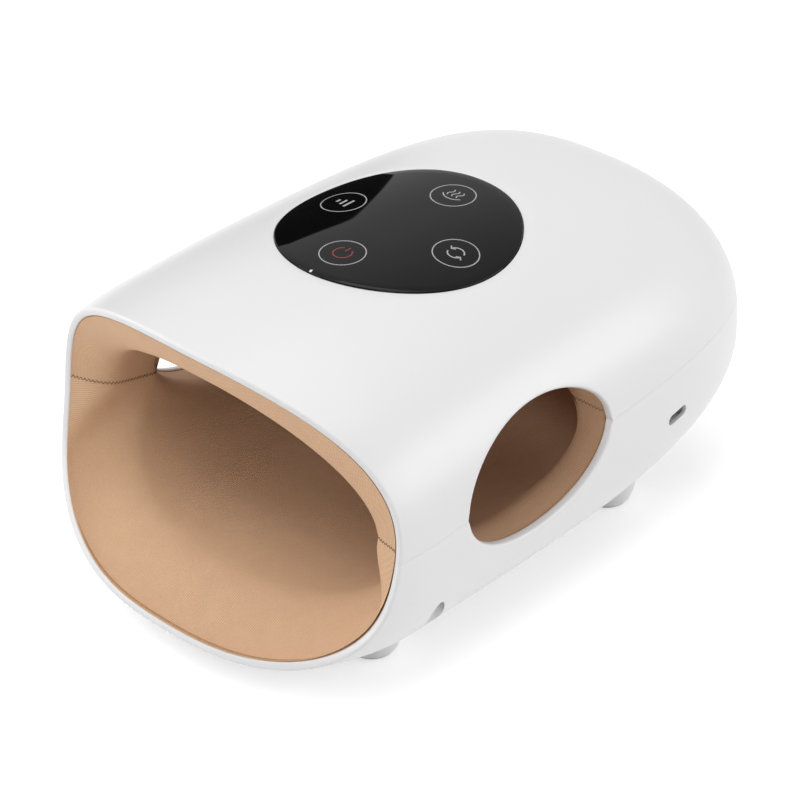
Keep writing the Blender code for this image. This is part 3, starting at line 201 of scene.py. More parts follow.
def rim_y(side, high):
    """The mouth's rim is scooped at the sides and leans forward at the bottom."""
    return MOUTH_Y + 0.0075 * side**2 + 0.0082 * high - 0.0128 * high**2


def body_arc(share, angle):
    """Points of the body's outside on the ring at a share of the way from the rim to the tail."""
    side, high = arch(angle)
    rim = rim_y(side, high)
    y = rim + share * (TAIL_Y - rim)
    wide, rise, drop = body_sizes(y)
    return np.stack([wide * side, y, WAIST_Z + np.where(high >= 0, rise, drop) * high], -1)


def body_level(points):
    """1 on the body's outside, less inside it."""
    x, y, z = points[..., 0], np.clip(points[..., 1], None, TAIL_Y - 1e-7), points[..., 2] - WAIST_Z
    wide, rise, drop = body_sizes(y)
    square = np.where(z >= 0, TOP_SQUARE, BELLY_SQUARE)
    tall = np.where(z >= 0, rise, drop)
    return (np.abs(x / wide) ** square + np.abs(z / tall) ** square) ** (1 / square)


def facing(points):
    """The outward direction at points of the body's outside."""
    step = 2e-6
    pulled = points.copy()
    pulled[..., 1] = np.clip(pulled[..., 1], None, TAIL_Y - 2 * step)
    slopes = [body_level(pulled + step * axis) - body_level(pulled - step * axis) for axis in np.eye(3)]
    out = np.stack(slopes, -1)
    return out / np.linalg.norm(out, axis=-1, keepdims=True)


def parting_z(y):
    return PARTING_MIDDLE + PARTING_SLOPE * y


def thumb_oval(points, grow=0.0):
    """Below 1 inside the thumb hole's oval, which leans a little to the rear."""
    y, z = points[..., 1] - THUMB_Y, points[..., 2] - THUMB_Z
    long_way = y * math.cos(THUMB_LEAN) + z * math.sin(THUMB_LEAN)
    tall_way = z * math.cos(THUMB_LEAN) - y * math.sin(THUMB_LEAN)
    return np.sqrt((long_way / (THUMB_LONG + grow)) ** 2 + (tall_way / (THUMB_TALL + grow)) ** 2)


def off_parting(points, half):
    """How far a point lies on its half's side of the parting line's own gap and rounding."""
    return half * (points[..., 2] - parting_z(points[..., 1])) - JOINT_GAP / 2 - JOINT_ROUND


def off_hole(points, grow):
    return (thumb_oval(points, grow) - 1) * THUMB_TALL


def in_housing_half(points, half):
    return np.minimum(off_parting(points, half), off_hole(points, HOLE_ROUND))


def end_angles(shares, half, arc, kept):
    """Where each ring of that half ends: the angle of the parting line or of the thumb hole's edge."""
    inner = np.full(len(shares), half * math.pi / 2)
    outer = -inner
    whole = kept(arc(shares, outer), half) > 0
    for _ in range(HALVINGS):
        middle = (inner + outer) / 2
        good = kept(arc(shares, middle), half) > 0
        inner, outer = np.where(good, middle, inner), np.where(good, outer, middle)
    return np.where(whole, -half * math.pi / 2, inner)


def run_along(line):
    """The distance of each of the line's points from its start."""
    return np.concatenate([[0], np.cumsum(np.linalg.norm(np.diff(line, axis=0), axis=1))])


def even_points(line, count):
    """The line's points again, evenly spaced along it."""
    run = run_along(line)
    wanted = np.linspace(0, run[-1], count)
    return np.stack([np.interp(wanted, run, line[:, k]) for k in range(3)], -1)


def ring_shares(arc, start, last, grow, blunt):
    """Shares along the body, close together at the lip, round the thumb hole and at the tail."""
    fine = np.linspace(0, 1, 4001)
    ys = arc(fine, np.full(4001, 0.06))[:, 1]
    reach = THUMB_LONG + grow - 0.00004
    front_hole, rear_hole = np.interp([THUMB_Y - reach, THUMB_Y + reach], ys, fine)
    turn = np.linspace(0, 1, 19)
    ahead = start + (front_hole - start) * (turn - 0.10 * np.sin(2 * math.pi * turn))
    middle, half_way = (front_hole + rear_hole) / 2, (rear_hole - front_hole) / 2
    beside = middle - half_way * np.cos(math.pi * np.arange(1, 49) / 48)
    shoulder = rear_hole + 0.62 * (last - rear_hole)
    behind = rear_hole + (shoulder - rear_hole) * np.linspace(0, 1, 27)[1:] ** 1.15
    tail = shoulder + (last - shoulder) * (1 - (1 - np.linspace(0, 1, 31)[1:]) ** blunt)
    return np.concatenate([ahead, beside, behind, tail])


def take(piece, *others):
    """Select these objects alone, with the first as the active one."""
    bpy.ops.object.select_all(action="DESELECT")
    for each in (piece, *others):
        each.select_set(True)
    bpy.context.view_layer.objects.active = piece


def weld(piece, reach=0.00001):
    """Merge the points that meet and turn all faces outwards."""
    take(piece)
    bpy.ops.object.mode_set(mode="EDIT")
    bpy.ops.mesh.select_all(action="SELECT")
    bpy.ops.mesh.remove_doubles(threshold=reach)
    bpy.ops.mesh.normals_make_consistent(inside=False)
    bpy.ops.object.mode_set(mode="OBJECT")


def corners_of(mesh):
    flat = np.empty(len(mesh.vertices) * 3)
    mesh.vertices.foreach_get("co", flat)
    return flat.reshape(-1, 3)


def sheet_of_rings(name, rings, cloth=None):
    """A grid bent to the rings and welded; cloth gives its places on the flat fabric."""
    columns, rows = len(rings[0]) - 1, len(rings) - 1
    bpy.ops.object.select_all(action="DESELECT")
    bpy.ops.mesh.primitive_grid_add(x_subdivisions=columns, y_subdivisions=rows, size=1)
    piece = bpy.context.object
    piece.name = name
    mesh = piece.data
    flat = corners_of(mesh)
    column = np.rint((flat[:, 0] + 0.5) * columns).astype(int)
    row = np.rint((flat[:, 1] + 0.5) * rows).astype(int)
    mesh.vertices.foreach_set("co", np.array(rings)[row, column].ravel())
    if cloth is not None:
        corners = np.empty(len(mesh.loops), int)
        mesh.loops.foreach_get("vertex_index", corners)
        places = np.array(cloth)[row, column][corners]
        mesh.uv_layers.active.data.foreach_set("uv", places.ravel())
    weld(piece)
    return piece


def apply_step(piece, kind, **settings):
    """Add one modifier with its settings and apply it."""
    bpy.context.view_layer.objects.active = piece
    step = piece.modifiers.new(kind.lower(), kind)
    for key, value in settings.items():
        setattr(step, key, value)
    bpy.ops.object.modifier_apply(modifier=step.name)


def along_skin(direction, out):
    """The direction laid flat on the skin."""
    flat = direction - out * (direction * out).sum(-1, keepdims=True)
    return flat / np.linalg.norm(flat, axis=-1, keepdims=True)


def edge_strip(points, half):
    """From the skin's end over a rounded edge to the wall's inside: places, outward ways and depths."""
    step = 1e-6
    out = facing(points)
    hole, joint = off_hole(points, HOLE_ROUND), off_parting(points, half)
    slopes = [thumb_oval(points - step * axis) - thumb_oval(points + step * axis) for axis in np.eye(3)]
    to_hole = np.stack(slopes, -1)
    to_joint = np.broadcast_to([0, half * PARTING_SLOPE, -half], points.shape)
    at_hole = (hole < joint)[:, None]
    away = along_skin(np.where(at_hole, to_hole, to_joint), out)
    rounding = np.where(at_hole[:, 0], HOLE_ROUND, JOINT_ROUND)
    spots = []
    for turn in (math.pi / 6, math.pi / 3, math.pi / 2):
        place = points + away * (rounding * math.sin(turn))[:, None]
        spots.append((place, rounding * (1 - math.cos(turn))))
    spots += [(place, WALL - depth) for place, depth in reversed(spots)]
    return [(place, out, depth) for place, depth in spots]


def walled_half(name, half, shares, columns):
    """One half of the housing, a closed wall with rounded edges at the lip, the holes and the joint."""
    ends = end_angles(shares, half, body_arc, in_housing_half)
    sides = []
    for share, end in zip(shares, ends):
        line = body_arc(share, np.linspace(end, half * math.pi / 2, LINE_STEPS))
        sides.append(even_points(line, columns + 1))
    right_side = np.array(sides)
    mirror = np.array([-1, 1, 1])
    skin = np.concatenate([right_side, right_side[:, -2::-1] * mirror], 1)
    out = facing(skin)
    zero = np.zeros(skin.shape[:2])
    right_strip = edge_strip(right_side[:, 0], half)
    left_strip = [(place * mirror, way * mirror, depth) for place, way, depth in right_strip]
    faces = (skin, out, zero), (skin[:, ::-1], out[:, ::-1], zero + WALL)
    loops = []
    for k in range(3):
        strips = [[spot[k][:, None] for spot in strip] for strip in (left_strip, right_strip[::-1])]
        part = [faces[0][k], *strips[0], faces[1][k], *strips[1]]
        loops.append(np.concatenate([*part, part[0][:, :1]], 1))
    place, way, depth = loops
    forward = along_skin(np.broadcast_to([0.0, -1.0, 0.0], place[0].shape), way[0])
    lip = []
    for turn in np.linspace(math.pi / 2, 0, 6)[:-1]:
        thinner = 1 - 2 * LIP_ROUND * (1 - math.cos(turn)) / WALL
        shallow = WALL / 2 + (depth[0] - WALL / 2) * thinner
        lip.append(place[0] + forward * LIP_ROUND * math.sin(turn) - way[0] * shallow[:, None])
    front = place[0] + forward * LIP_ROUND - way[0] * WALL / 2
    return sheet_of_rings(name, [front, *lip, *(place - way * depth[..., None])]), skin


def crown_share(half):
    """Where the crown of the body sinks to that half's edge, near the tail."""
    low, high = 0.5, 1.0
    for _ in range(CROWN_HALVINGS):
        middle = (low + high) / 2
        crown = body_arc(middle, np.array(math.pi / 2))
        above = crown[2] - parting_z(crown[1]) > half * (JOINT_GAP / 2 + JOINT_ROUND)
        low, high = (middle, high) if above else (low, middle)
    return low


def new_group(name, inputs, outputs):
    """An empty node group with its named sockets."""
    group = bpy.data.node_groups.new(name, "ShaderNodeTree")
    for way, sockets in (("INPUT", inputs), ("OUTPUT", outputs)):
        for socket in sockets:
            group.interface.new_socket(socket, in_out=way, socket_type="NodeSocketFloat")
    return group, group.nodes.new("NodeGroupInput"), group.nodes.new("NodeGroupOutput")


def grain_group():
    """Fine grain from layered noise: a mask for colour and gloss, and a height for the bump."""
    group, inside, outside = new_group("fine_grain", ("Scale", "Detail"), ("Mask", "Height"))
    place = group.nodes.new("ShaderNodeTexCoord").outputs["Object"]
    scale, detail = inside.outputs[:2]
    for way, size in (("Mask", scale), ("Height", math_of(group, "MULTIPLY", scale, 9))):
        noise = add_node(group, "ShaderNodeTexNoise", place)
        group.links.new(size, noise.inputs["Scale"])
        group.links.new(detail, noise.inputs["Detail"])
        group.links.new(noise.outputs["Fac"], outside.inputs[way])
    return group


fine_grain = grain_group()


def two_tone(tree, mask, dark, light):
    """A colour that goes from one to the other with the mask."""
    colour = add_node(tree, "ShaderNodeMix", mask, data_type="RGBA")
    colour.inputs["A"].default_value, colour.inputs["B"].default_value = (*dark, 1), (*light, 1)
    return colour.outputs["Result"]


def surfaced(tree, shader, colour, gloss_mask, rough, height, strength, bump):
    """Feed the shader its colour, a roughness that follows a mask, and a bump from a height."""
    gloss = add_node(tree, "ShaderNodeMapRange", gloss_mask, in_3=rough[0], in_4=rough[1])
    relief = add_node(tree, "ShaderNodeBump", strength, bump)
    tree.links.new(height, relief.inputs["Height"])
    tree.links.new(colour, shader.inputs["Base Color"])
    tree.links.new(gloss.outputs["Result"], shader.inputs["Roughness"])
    tree.links.new(relief.outputs["Normal"], shader.inputs["Normal"])


def grained(name, dark, light, rough, scale, bump, **constants):
    """A material whose colour, gloss and surface vary a little with the grain."""
    made, tree, shader = new_material(name, **constants)
    grain = add_node(tree, "ShaderNodeGroup", node_tree=fine_grain, in_0=scale, in_1=3)
    mask, height = grain.outputs["Mask"], grain.outputs["Height"]
    surfaced(tree, shader, two_tone(tree, mask, dark, light), mask, rough, height, 0.5, bump)
    return made


shell_white = (0.80, 0.795, 0.80), (0.83, 0.825, 0.83)
gloss_white = grained("gloss_white_abs", *shell_white, (0.30, 0.36), 18, 0.00001)


def dress(piece, material, body="housing", *replaced):
    """Give a piece its finish, put it on its body and let it stand for its CAD nodes."""
    piece.data.materials.clear()
    piece.data.materials.append(material)
    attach(piece, body)
    if replaced:
        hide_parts(*replaced)


def join_pieces(piece, *others):
    """Make one mesh of several objects."""
    take(piece, *others)
    bpy.ops.object.join()
    return piece


def smooth(piece, degrees=35):
    take(piece)
    bpy.ops.object.shade_smooth_by_angle(angle=math.radians(degrees))


def carve(piece, *tools):
    """Cut the tools' spaces out of the piece in one go."""
    tool = join_pieces(*tools) if len(tools) > 1 else tools[0]
    apply_step(piece, "BOOLEAN", operation="DIFFERENCE", object=tool, solver="EXACT")
    bpy.data.objects.remove(tool, do_unlink=True)


def dome_z(x, y):
    wide, rise, _ = body_sizes(np.asarray(y, float))
    return WAIST_Z + rise * (1 - np.abs(x / wide) ** TOP_SQUARE) ** (1 / TOP_SQUARE)


PANEL_Y, PANEL_HALF = -0.0016, (0.0377, 0.03905)


def dome_disc(name, profile, steps=160):
    """An oval body that follows the dome, from a profile of steps past the panel's edge and heights."""
    turn = np.linspace(0, 2 * math.pi, steps + 1)
    rings = []
    for grow, lift in profile:
        share = max(1 + grow / PANEL_HALF[0], 0)
        x = PANEL_HALF[0] * share * np.cos(turn)
        y = PANEL_Y + PANEL_HALF[1] * share * np.sin(turn)
        rings.append(np.stack([x, y, dome_z(x, y) + lift], -1))
    return sheet_of_rings(name, rings)


upper_last = crown_share(1)
lip_start = LIP_ROUND / (TAIL_Y - MOUTH_Y)
upper_shares = ring_shares(body_arc, lip_start, upper_last, HOLE_ROUND, TAIL_BLUNT)
upper_shell, _ = walled_half("upper_shell", 1, upper_shares, 60)
recess = [(-0.1, -0.006), (-0.03, -0.006), (-0.012, -0.006), (-0.004, -0.006)]
recess += [(-0.004, -0.0018), (GAP, -0.0018), (GAP, -0.0003), (0.0005, -0.0002)]
recess += [(0.0044, 0.00002), (0.005, 0.0004), (0.005, 0.004), (-0.1, 0.004)]
carve(upper_shell, dome_disc("recess_tool", recess))
smooth(upper_shell)
dress(upper_shell, gloss_white, "housing", "upper_housing")

# The lower housing is the second gloss white moulding: the belly with four feet drawn out of it in one
# sweep, the screw wells beside them and the slot of the charging socket in the right wall.
FEET = [(side * 0.0421, y) for side in (-1, 1) for y in (-0.0599, 0.0506)]
FOOT_RADIUS, FOOT_SLOPE, FOOT_EDGE, FOOT_SWEEP = 0.0090, 6.8, 0.0026, 0.0086
FOOT_REACH, FACES_DOWN = 0.0145, -0.2
PAD_RADIUS, PAD_PROUD, PAD_THICK = 0.0070, 0.0010, 0.0020
lower_last = crown_share(-1)
lower_shares = ring_shares(body_arc, lip_start, lower_last, HOLE_ROUND, TAIL_BLUNT)
lower_shell, skin = walled_half("lower_shell", -1, lower_shares, 64)
closing = []
for share in lower_last + (1 - lower_last) * (1 - (1 - np.linspace(0, 1, 7)) ** TAIL_BLUNT):
    line = body_arc(share, np.linspace(math.pi / 2, -math.pi / 2, LINE_STEPS))
    side = even_points(line, 65)
    closing.append(np.concatenate([side, side[-2::-1] * (-1, 1, 1)]))
closing = np.array(closing)
closing[0] = skin[-1]
tail_out = facing(closing)
tail_skin = sheet_of_rings("tail_skin", closing)
tail_inside = sheet_of_rings("tail_inside", closing - tail_out * WALL)
join_pieces(lower_shell, tail_skin, tail_inside)
weld(lower_shell)


def select_faces(piece, chosen):
    """Go into edit mode with only the faces selected for which chosen says yes."""
    take(piece)
    bpy.context.tool_settings.mesh_select_mode = (False, False, True)
    wanted = [chosen(face) for face in piece.data.polygons]
    piece.data.vertices.foreach_set("select", [False] * len(piece.data.vertices))
    piece.data.edges.foreach_set("select", [False] * len(piece.data.edges))
    piece.data.polygons.foreach_set("select", wanted)
    bpy.ops.object.mode_set(mode="EDIT")


def leave_edit():
    bpy.ops.object.mode_set(mode="OBJECT")
    bpy.context.tool_settings.mesh_select_mode = (True, False, False)


def beside_a_foot(face):
    near = min(math.hypot(face.center.x - x, face.center.y - y) for x, y in FEET)
    return near < FOOT_REACH and face.normal.z < FACES_DOWN


select_faces(lower_shell, beside_a_foot)
bpy.ops.mesh.subdivide(number_cuts=4, smoothness=0)
leave_edit()


def soft_lower(a, b, reach):
    """The lower of two heights, with a smooth sweep between them where they come close."""
    mix = np.clip(0.5 + 0.5 * (b - a) / reach, 0, 1)
    return b * (1 - mix) + a * mix - reach * mix * (1 - mix)


mesh = lower_shell.data
corners = corners_of(mesh)
lean = np.empty(corners.size)
mesh.vertex_normals.foreach_get("vector", lean)
outside = lean.reshape(-1, 3)[:, 2] < FACES_DOWN
for x, y in FEET:
    off = np.hypot(corners[:, 0] - x, corners[:, 1] - y)
    rounded = FOOT_SLOPE * (off - FOOT_RADIUS + FOOT_EDGE) ** 2 / (4 * FOOT_EDGE)
    flank = np.where(off > FOOT_RADIUS + FOOT_EDGE, FOOT_SLOPE * (off - FOOT_RADIUS), rounded)
    flank = np.where(off < FOOT_RADIUS - FOOT_EDGE, 0, flank)
    swept = np.maximum(soft_lower(corners[:, 2], flank, FOOT_SWEEP), PAD_PROUD)
    corners[:, 2] = np.where(outside & (off < FOOT_REACH), swept, corners[:, 2])
mesh.vertices.foreach_set("co", corners.ravel())
mesh.update()


def round_tool(name, radius, bottom, top, place, steps=48):
    bpy.ops.object.select_all(action="DESELECT")
    centre, tall = (*place, (bottom + top) / 2), top - bottom
    bpy.ops.mesh.primitive_cylinder_add(vertices=steps, radius=radius, depth=tall, location=centre)
    tool = bpy.context.object
    bpy.ops.object.transform_apply(location=True, rotation=True, scale=True)
    tool.name = name
    return tool


SCREWS = [(side * x, y) for side in (-1, 1) for x, y in ((0.0693, -0.0614), (0.052, 0.078))]
WELL_RADIUS, WELL_TOP, BELOW = 0.0036, 0.01612, -0.01
tools = [round_tool("well_tool", WELL_RADIUS, BELOW, parting_z(y) - WELL_TOP, (x, y)) for x, y in SCREWS]
tools += [round_tool("pad_tool", PAD_RADIUS + GAP, BELOW, PAD_THICK + GAP, place) for place in FEET]
PORT_Y, PORT_Z, PORT_LONG, PORT_TALL = 0.0478, 0.0464, 0.0089, 0.0032
PORT_TILT = math.pi * 0.033


def port_bar(name, grow, outer, inner, steps=12):
    """A bar with rounded ends along the socket's slot, as a tool for it."""
    radius, run = PORT_TALL / 2 + grow, (PORT_LONG - PORT_TALL) / 2
    loop = []
    for at, start in ((run, -math.pi / 2), (-run, math.pi / 2)):
        for turn in (start + math.pi * k / steps for k in range(steps + 1)):
            loop.append((at + radius * math.cos(turn), radius * math.sin(turn)))
    loop = np.array([*loop, loop[0]])
    y = PORT_Y + loop[:, 0] * math.cos(PORT_TILT) - loop[:, 1] * math.sin(PORT_TILT)
    z = PORT_Z + loop[:, 0] * math.sin(PORT_TILT) + loop[:, 1] * math.cos(PORT_TILT)
    rings = []
    for x, s in ((inner, 0), (inner, 1), (outer, 1), (outer, 0)):
        shrunk = y * s + PORT_Y * (1 - s), z * s + PORT_Z * (1 - s)
        rings.append(np.stack([np.full(len(y), x), *shrunk], -1))
    return sheet_of_rings(name, rings)


tools.append(port_bar("port_tool", GAP, 0.09, 0.055))
carve(lower_shell, *tools)
smooth(lower_shell)
dress(lower_shell, gloss_white, "housing", "lower_housing")

# The control panel is a black lens, moulded to the dome and set flush in its recess.
# Its rings and signs are printed on it in pale grey, the power sign in red.
lens_profile = [(-0.1, -0.0016), (-0.02, -0.0016), (-0.0002, -0.0016), (0, -0.0014), (0, -0.0001)]
lens_profile += [(-0.0001, 0.00005), (-0.0003, 0.0001)]
lens_profile += [(-inward, 0.0001) for inward in np.linspace(0.003, PANEL_HALF[0], 12)]
lens = dome_disc("panel_lens", lens_profile)
smooth(lens)
lens_tones = (0.0015, 0.0015, 0.0018), (0.002, 0.002, 0.0024)
lens_black = grained("panel_lens_black", *lens_tones, (0.03, 0.05), 30, 0.000002, Specular_IOR_Level=0.16)
dress(lens, lens_black, "housing", "control_panel")
KEY_X, KEY_Y = 0.0240, 0.0246
LENS_PROUD, PRINT = 0.0001, 0.00004


def printed(name, strokes, centre, thick):
    """Strokes of print on the lens: each is a line of points round the key's centre, laid on the dome."""
    pieces = []
    for number, stroke in enumerate(strokes):
        stroke = np.array(stroke, float)
        closed = np.allclose(stroke[0], stroke[-1])
        after, before = (stroke[1:2], stroke[-2:-1]) if closed else (stroke[-1:], stroke[:1])
        ahead, behind = np.concatenate([stroke[1:], after]), np.concatenate([before, stroke[:-1]])
        run = ahead - behind
        run /= np.linalg.norm(run, axis=1, keepdims=True)
        aside = np.stack([-run[:, 1], run[:, 0]], -1) * thick / 2
        rings = []
        for across_line, lift in ((-1, 0), (-1, 1), (1, 1), (1, 0), (-1, 0)):
            x, y = (stroke + aside * across_line + centre).T
            rings.append(np.stack([x, y, dome_z(x, y) + LENS_PROUD + PRINT * lift - PRINT / 2], -1))
        rings = np.array(rings).transpose(1, 0, 2)
        if not closed:
            caps = [ring.mean(0, keepdims=True).repeat(5, 0) for ring in (rings[0], rings[-1])]
            rings = np.concatenate([caps[:1], rings, caps[1:]])
        pieces.append(sheet_of_rings(f"{name}_{number}", rings))
    joined = join_pieces(*pieces) if len(pieces) > 1 else pieces[0]
    joined.name = name
    return joined


def circle(radius, start=0.0, end=2 * math.pi, steps=64, squash=1.0):
    turn = np.linspace(start, end, steps)
    points = np.stack([radius * np.cos(turn), radius * squash * np.sin(turn)], -1)
    if end - start > 6.28:
        points[-1] = points[0]
    return points


def bar(x0, y0, x1, y1):
    return np.array([(x0, y0), (x0 + (x1 - x0) * 0.5, y0 + (y1 - y0) * 0.5), (x1, y1)])


PRINT_GRAIN, PRINT_BUMP = 400, 0.000001
print_tones = {
    "key_print_grey": ((0.36, 0.36, 0.37), (0.44, 0.44, 0.45), (0.4, 0.5)),
    "key_print_red": ((0.19, 0.008, 0.008), (0.26, 0.012, 0.012), (0.4, 0.5)),
    "tick_white": ((0.74, 0.74, 0.74), (0.80, 0.80, 0.80), (0.35, 0.45)),
}
print_grey, print_red, tick_white = (
    grained(name, *tones, PRINT_GRAIN, PRINT_BUMP) for name, tones in print_tones.items()
)
KEYS = {"level": (-KEY_X, 0), "heat": (0, KEY_Y), "power": (0, -KEY_Y), "mode": (KEY_X, 0)}
for key, (x, y) in KEYS.items():
    ring = printed(f"key_ring_{key}", [circle(0.0072, steps=96)], (x, PANEL_Y + y), 0.00036)
    dress(ring, print_grey)
tick = printed("lens_edge_tick", [bar(0.0004, -0.0389, -0.0001, -0.0377)], (0, PANEL_Y), 0.0008)
dress(tick, tick_white)
MM = 0.001
waves = []
for shift in (-1.9, 0.0, 1.9):
    rise = np.linspace(-1.9, 1.9, 14)
    waves.append(np.stack([shift + 0.5 * np.sin(rise * 1.7), rise + 1.2], -1) * MM)
dish = circle(4.0, math.pi * 1.14, math.pi * 1.86, 24, 0.78) * MM + (0, 0.7 * MM)
LOOP, ARROW_START, ARROW_END = 2.6, math.pi * 0.12, math.pi * 0.88
arrows = [circle(LOOP, ARROW_START + turn, ARROW_END + turn, 20) * MM for turn in (0, math.pi)]
for sign in (1, -1):
    tip = np.array([LOOP * math.cos(ARROW_END), LOOP * math.sin(ARROW_END)]) * sign * MM
    barbs = [tip + np.array(step) * sign * MM for step in ((-1.05, 0.75), (0, -0.35), (1.15, 0.5))]
    arrows.append(np.array(barbs))
steps_up = [bar(x * MM, -h * MM, x * MM, h * MM) for x, h in ((-2.3, 0.9), (0, 1.7), (2.3, 2.5))]
open_ring = circle(0.0030, math.pi * 0.68, math.pi * 2.32, 40)
SIGNS = {
    "level": (steps_up, 0.00085),
    "heat": ([*waves, dish], 0.0004),
    "power": ([open_ring, bar(0, 0.0011, 0, 0.0036)], 0.00046),
    "mode": (arrows, 0.00046),
}
for key, (strokes, thick) in SIGNS.items():
    x, y = KEYS[key]
    sign = printed(f"key_sign_{key}", strokes, (x, PANEL_Y + y), thick)
    dress(sign, print_red if key == "power" else print_grey)

# The lining is two knitted halves, sewn together at the sides: a padded roof that falls steeply from the
# lip, and a floor that sags from side to side. Each half runs out to the thumb holes in a rolled sleeve.
TURN_IN, POCKET_END_Y = 0.0009, 0.036
POCKET_WIDE, POCKET_RISE, POCKET_DROP, POCKET_SQUARE = 0.0603, 0.0375, 0.0310, 1.8
CAD_RISE, HOLE_TURN_IN = 0.0358, 0.0003
ROLL_ABOVE, ROLL_BELOW = 0.0016, 0.0050
SEAM = ((-0.0820, 0.0608), (-0.0780, 0.0589), (-0.0728, 0.0576), (-0.0665, 0.0558), (-0.0610, 0.0545),
        (-0.0524, 0.0526), (-0.0480, 0.0515), (-0.0187, 0.0580), (0.0120, 0.0640), (0.0360, 0.0630))


def ease(value):
    value = np.clip(value, 0, 1)
    return value * value * (3 - 2 * value)


def pocket_arc(share, angle):
    """Points of the lining on the ring at a share of the way from the rim to the pocket's end."""
    side, high = arch(angle)
    rim = rim_y(side, high)
    y = rim + share * (POCKET_END_Y - rim)
    depth = y - rim - TURN_IN
    leftward = ease((-np.cos(angle) - 0.45) / 0.74)
    reach = 0.0089 + 0.0051 * leftward - 0.0019 * ease(np.cos(angle))
    steep = 1 - (1 - np.clip(depth / reach, 0, 1)) ** (5.6 - 2.6 * leftward)
    gentle = ease(depth / 0.027)
    floored = ease((-high + 0.02) / 0.5)
    mix = steep * (1 - floored) + gentle * floored
    along = np.clip((share - 0.80) / 0.20, 0, 1)
    shrink = (1 - along**3) ** (1 / 3)
    wide, rise, drop = body_sizes(rim)
    inset = WALL - 0.0001
    tall = np.where(high >= 0, rise, drop)
    deep_side, deep_high = arch(angle, POCKET_SQUARE)
    deep_rise = POCKET_RISE + (CAD_RISE - POCKET_RISE) * ease((depth - 0.008) / 0.022)
    deep_tall = np.where(high >= 0, deep_rise, POCKET_DROP)
    x = (wide - inset) * side * (1 - mix) + POCKET_WIDE * deep_side * mix * shrink
    z = (tall - inset) * high * (1 - mix) + deep_tall * deep_high * mix * shrink
    return np.stack([x, y, WAIST_Z + z], -1)


def seam_z(y):
    """Height of the seam between the halves. Beside a thumb hole it is the hole's long axis."""
    ys, zs = np.array(SEAM).T
    axis = THUMB_Z + (y - THUMB_Y) * math.tan(THUMB_LEAN)
    reach = (THUMB_LONG + HOLE_TURN_IN) * math.cos(THUMB_LEAN)
    return np.where(np.abs(y - THUMB_Y) < reach, axis, np.interp(y, ys, zs))


def in_lining_half(points, half):
    return np.minimum(half * (points[..., 2] - seam_z(points[..., 1])), off_hole(points, HOLE_TURN_IN))


def rolled_out(points):
    """The lining beside a thumb hole rolls out into the sleeve, tightly above it and gently below."""
    from_hole = np.hypot(points[..., 1] - THUMB_Y, points[..., 2] - THUMB_Z)
    past = from_hole * (1 - 1 / np.maximum(thumb_oval(points, HOLE_TURN_IN), 1))
    low = ease((THUMB_Z + 0.003 - points[..., 2]) / 0.016)
    radius = ROLL_ABOVE + (ROLL_BELOW - ROLL_ABOVE) * low
    roll = radius - np.sqrt(radius**2 - np.clip(radius - past, 0, radius) ** 2)
    moved = points.copy()
    moved[..., 0] += np.sign(points[..., 0]) * roll
    return moved


def wall_x(y, z):
    """The housing's half width at a place on its side."""
    wide, rise, drop = body_sizes(y)
    high = z - WAIST_Z
    tall = np.where(high >= 0, rise, drop)
    square = np.where(high >= 0, TOP_SQUARE, BELLY_SQUARE)
    return wide * (1 - np.abs(high / tall) ** square) ** (1 / square)


def other_side(share, angle):
    return pocket_arc(share, math.pi - angle)


seams = []


def half_lining(name, half, columns):
    """One half of the lining as a sheet, with its place on the flat fabric for the knit."""
    shares = ring_shares(pocket_arc, 0.0055, 1.0, HOLE_TURN_IN, 3.0)
    sides = []
    for arc in (pocket_arc, other_side):
        lines = []
        for share, end in zip(shares, end_angles(shares, half, arc, in_lining_half)):
            line = arc(share, np.linspace(end, half * math.pi / 2, 500))
            lines.append(even_points(rolled_out(line), columns + 1))
        sides.append(np.array(lines))
        edge = sides[-1][:, 0]
        on_seam = off_hole(edge, HOLE_TURN_IN) > half * (edge[:, 2] - seam_z(edge[:, 1])) - 1e-6
        seams.append(edge[on_seam])
    steps = [np.linalg.norm(np.diff(side, axis=1), axis=2) for side in sides]
    from_crown = [np.cumsum(step[:, ::-1], 1)[:, ::-1] for step in steps]
    rings = np.concatenate([sides[0], sides[1][:, -2::-1]], 1)
    flat = np.concatenate([from_crown[0], np.zeros((len(rings), 1)), -from_crown[1][:, ::-1]], 1)
    return sheet_of_rings(name, rings, np.stack([flat, rings[..., 1]], -1))


def knit_group():
    """Fine ribs that run into the pocket, each a column of small stitches: a mask and a height."""
    group, inside, outside = new_group("rib_knit", ("Rib", "Stitch"), ("Mask", "Height", "Fuzz"))
    place = group.nodes.new("ShaderNodeTexCoord")
    across_u, along_v, _ = add_node(group, "ShaderNodeSeparateXYZ", place.outputs["UV"]).outputs

    def noise_of(scale, detail):
        noise = add_node(group, "ShaderNodeTexNoise", place.outputs["Object"], in_2=scale, in_3=detail)
        return noise.outputs["Fac"]

    def count(operation, *feeds):
        return math_of(group, operation, *feeds)

    ribs = count("PINGPONG", count("DIVIDE", across_u, inside.outputs["Rib"]), 0.5)
    rib_height = count("SINE", count("MULTIPLY", ribs, math.pi))
    turn_v = count("DIVIDE", along_v, inside.outputs["Stitch"])
    stitches = count("PINGPONG", count("ADD", turn_v, count("MULTIPLY", ribs, 1.2)), 0.5)
    height = count("ADD", count("MULTIPLY", rib_height, 0.7), count("MULTIPLY", stitches, 0.6))
    fuzz, patches = noise_of(1600.0, 3.0), noise_of(160.0, 4.0)
    speckle = count("ADD", count("MULTIPLY", fuzz, 0.6), count("MULTIPLY", patches, 0.4))
    mask = count("MULTIPLY", height, count("ADD", speckle, 0.35))
    relief = count("ADD", height, count("MULTIPLY", fuzz, 0.5))
    for result, socket in zip((mask, relief, speckle), outside.inputs):
        group.links.new(result, socket)
    return group


rib_knit = knit_group()


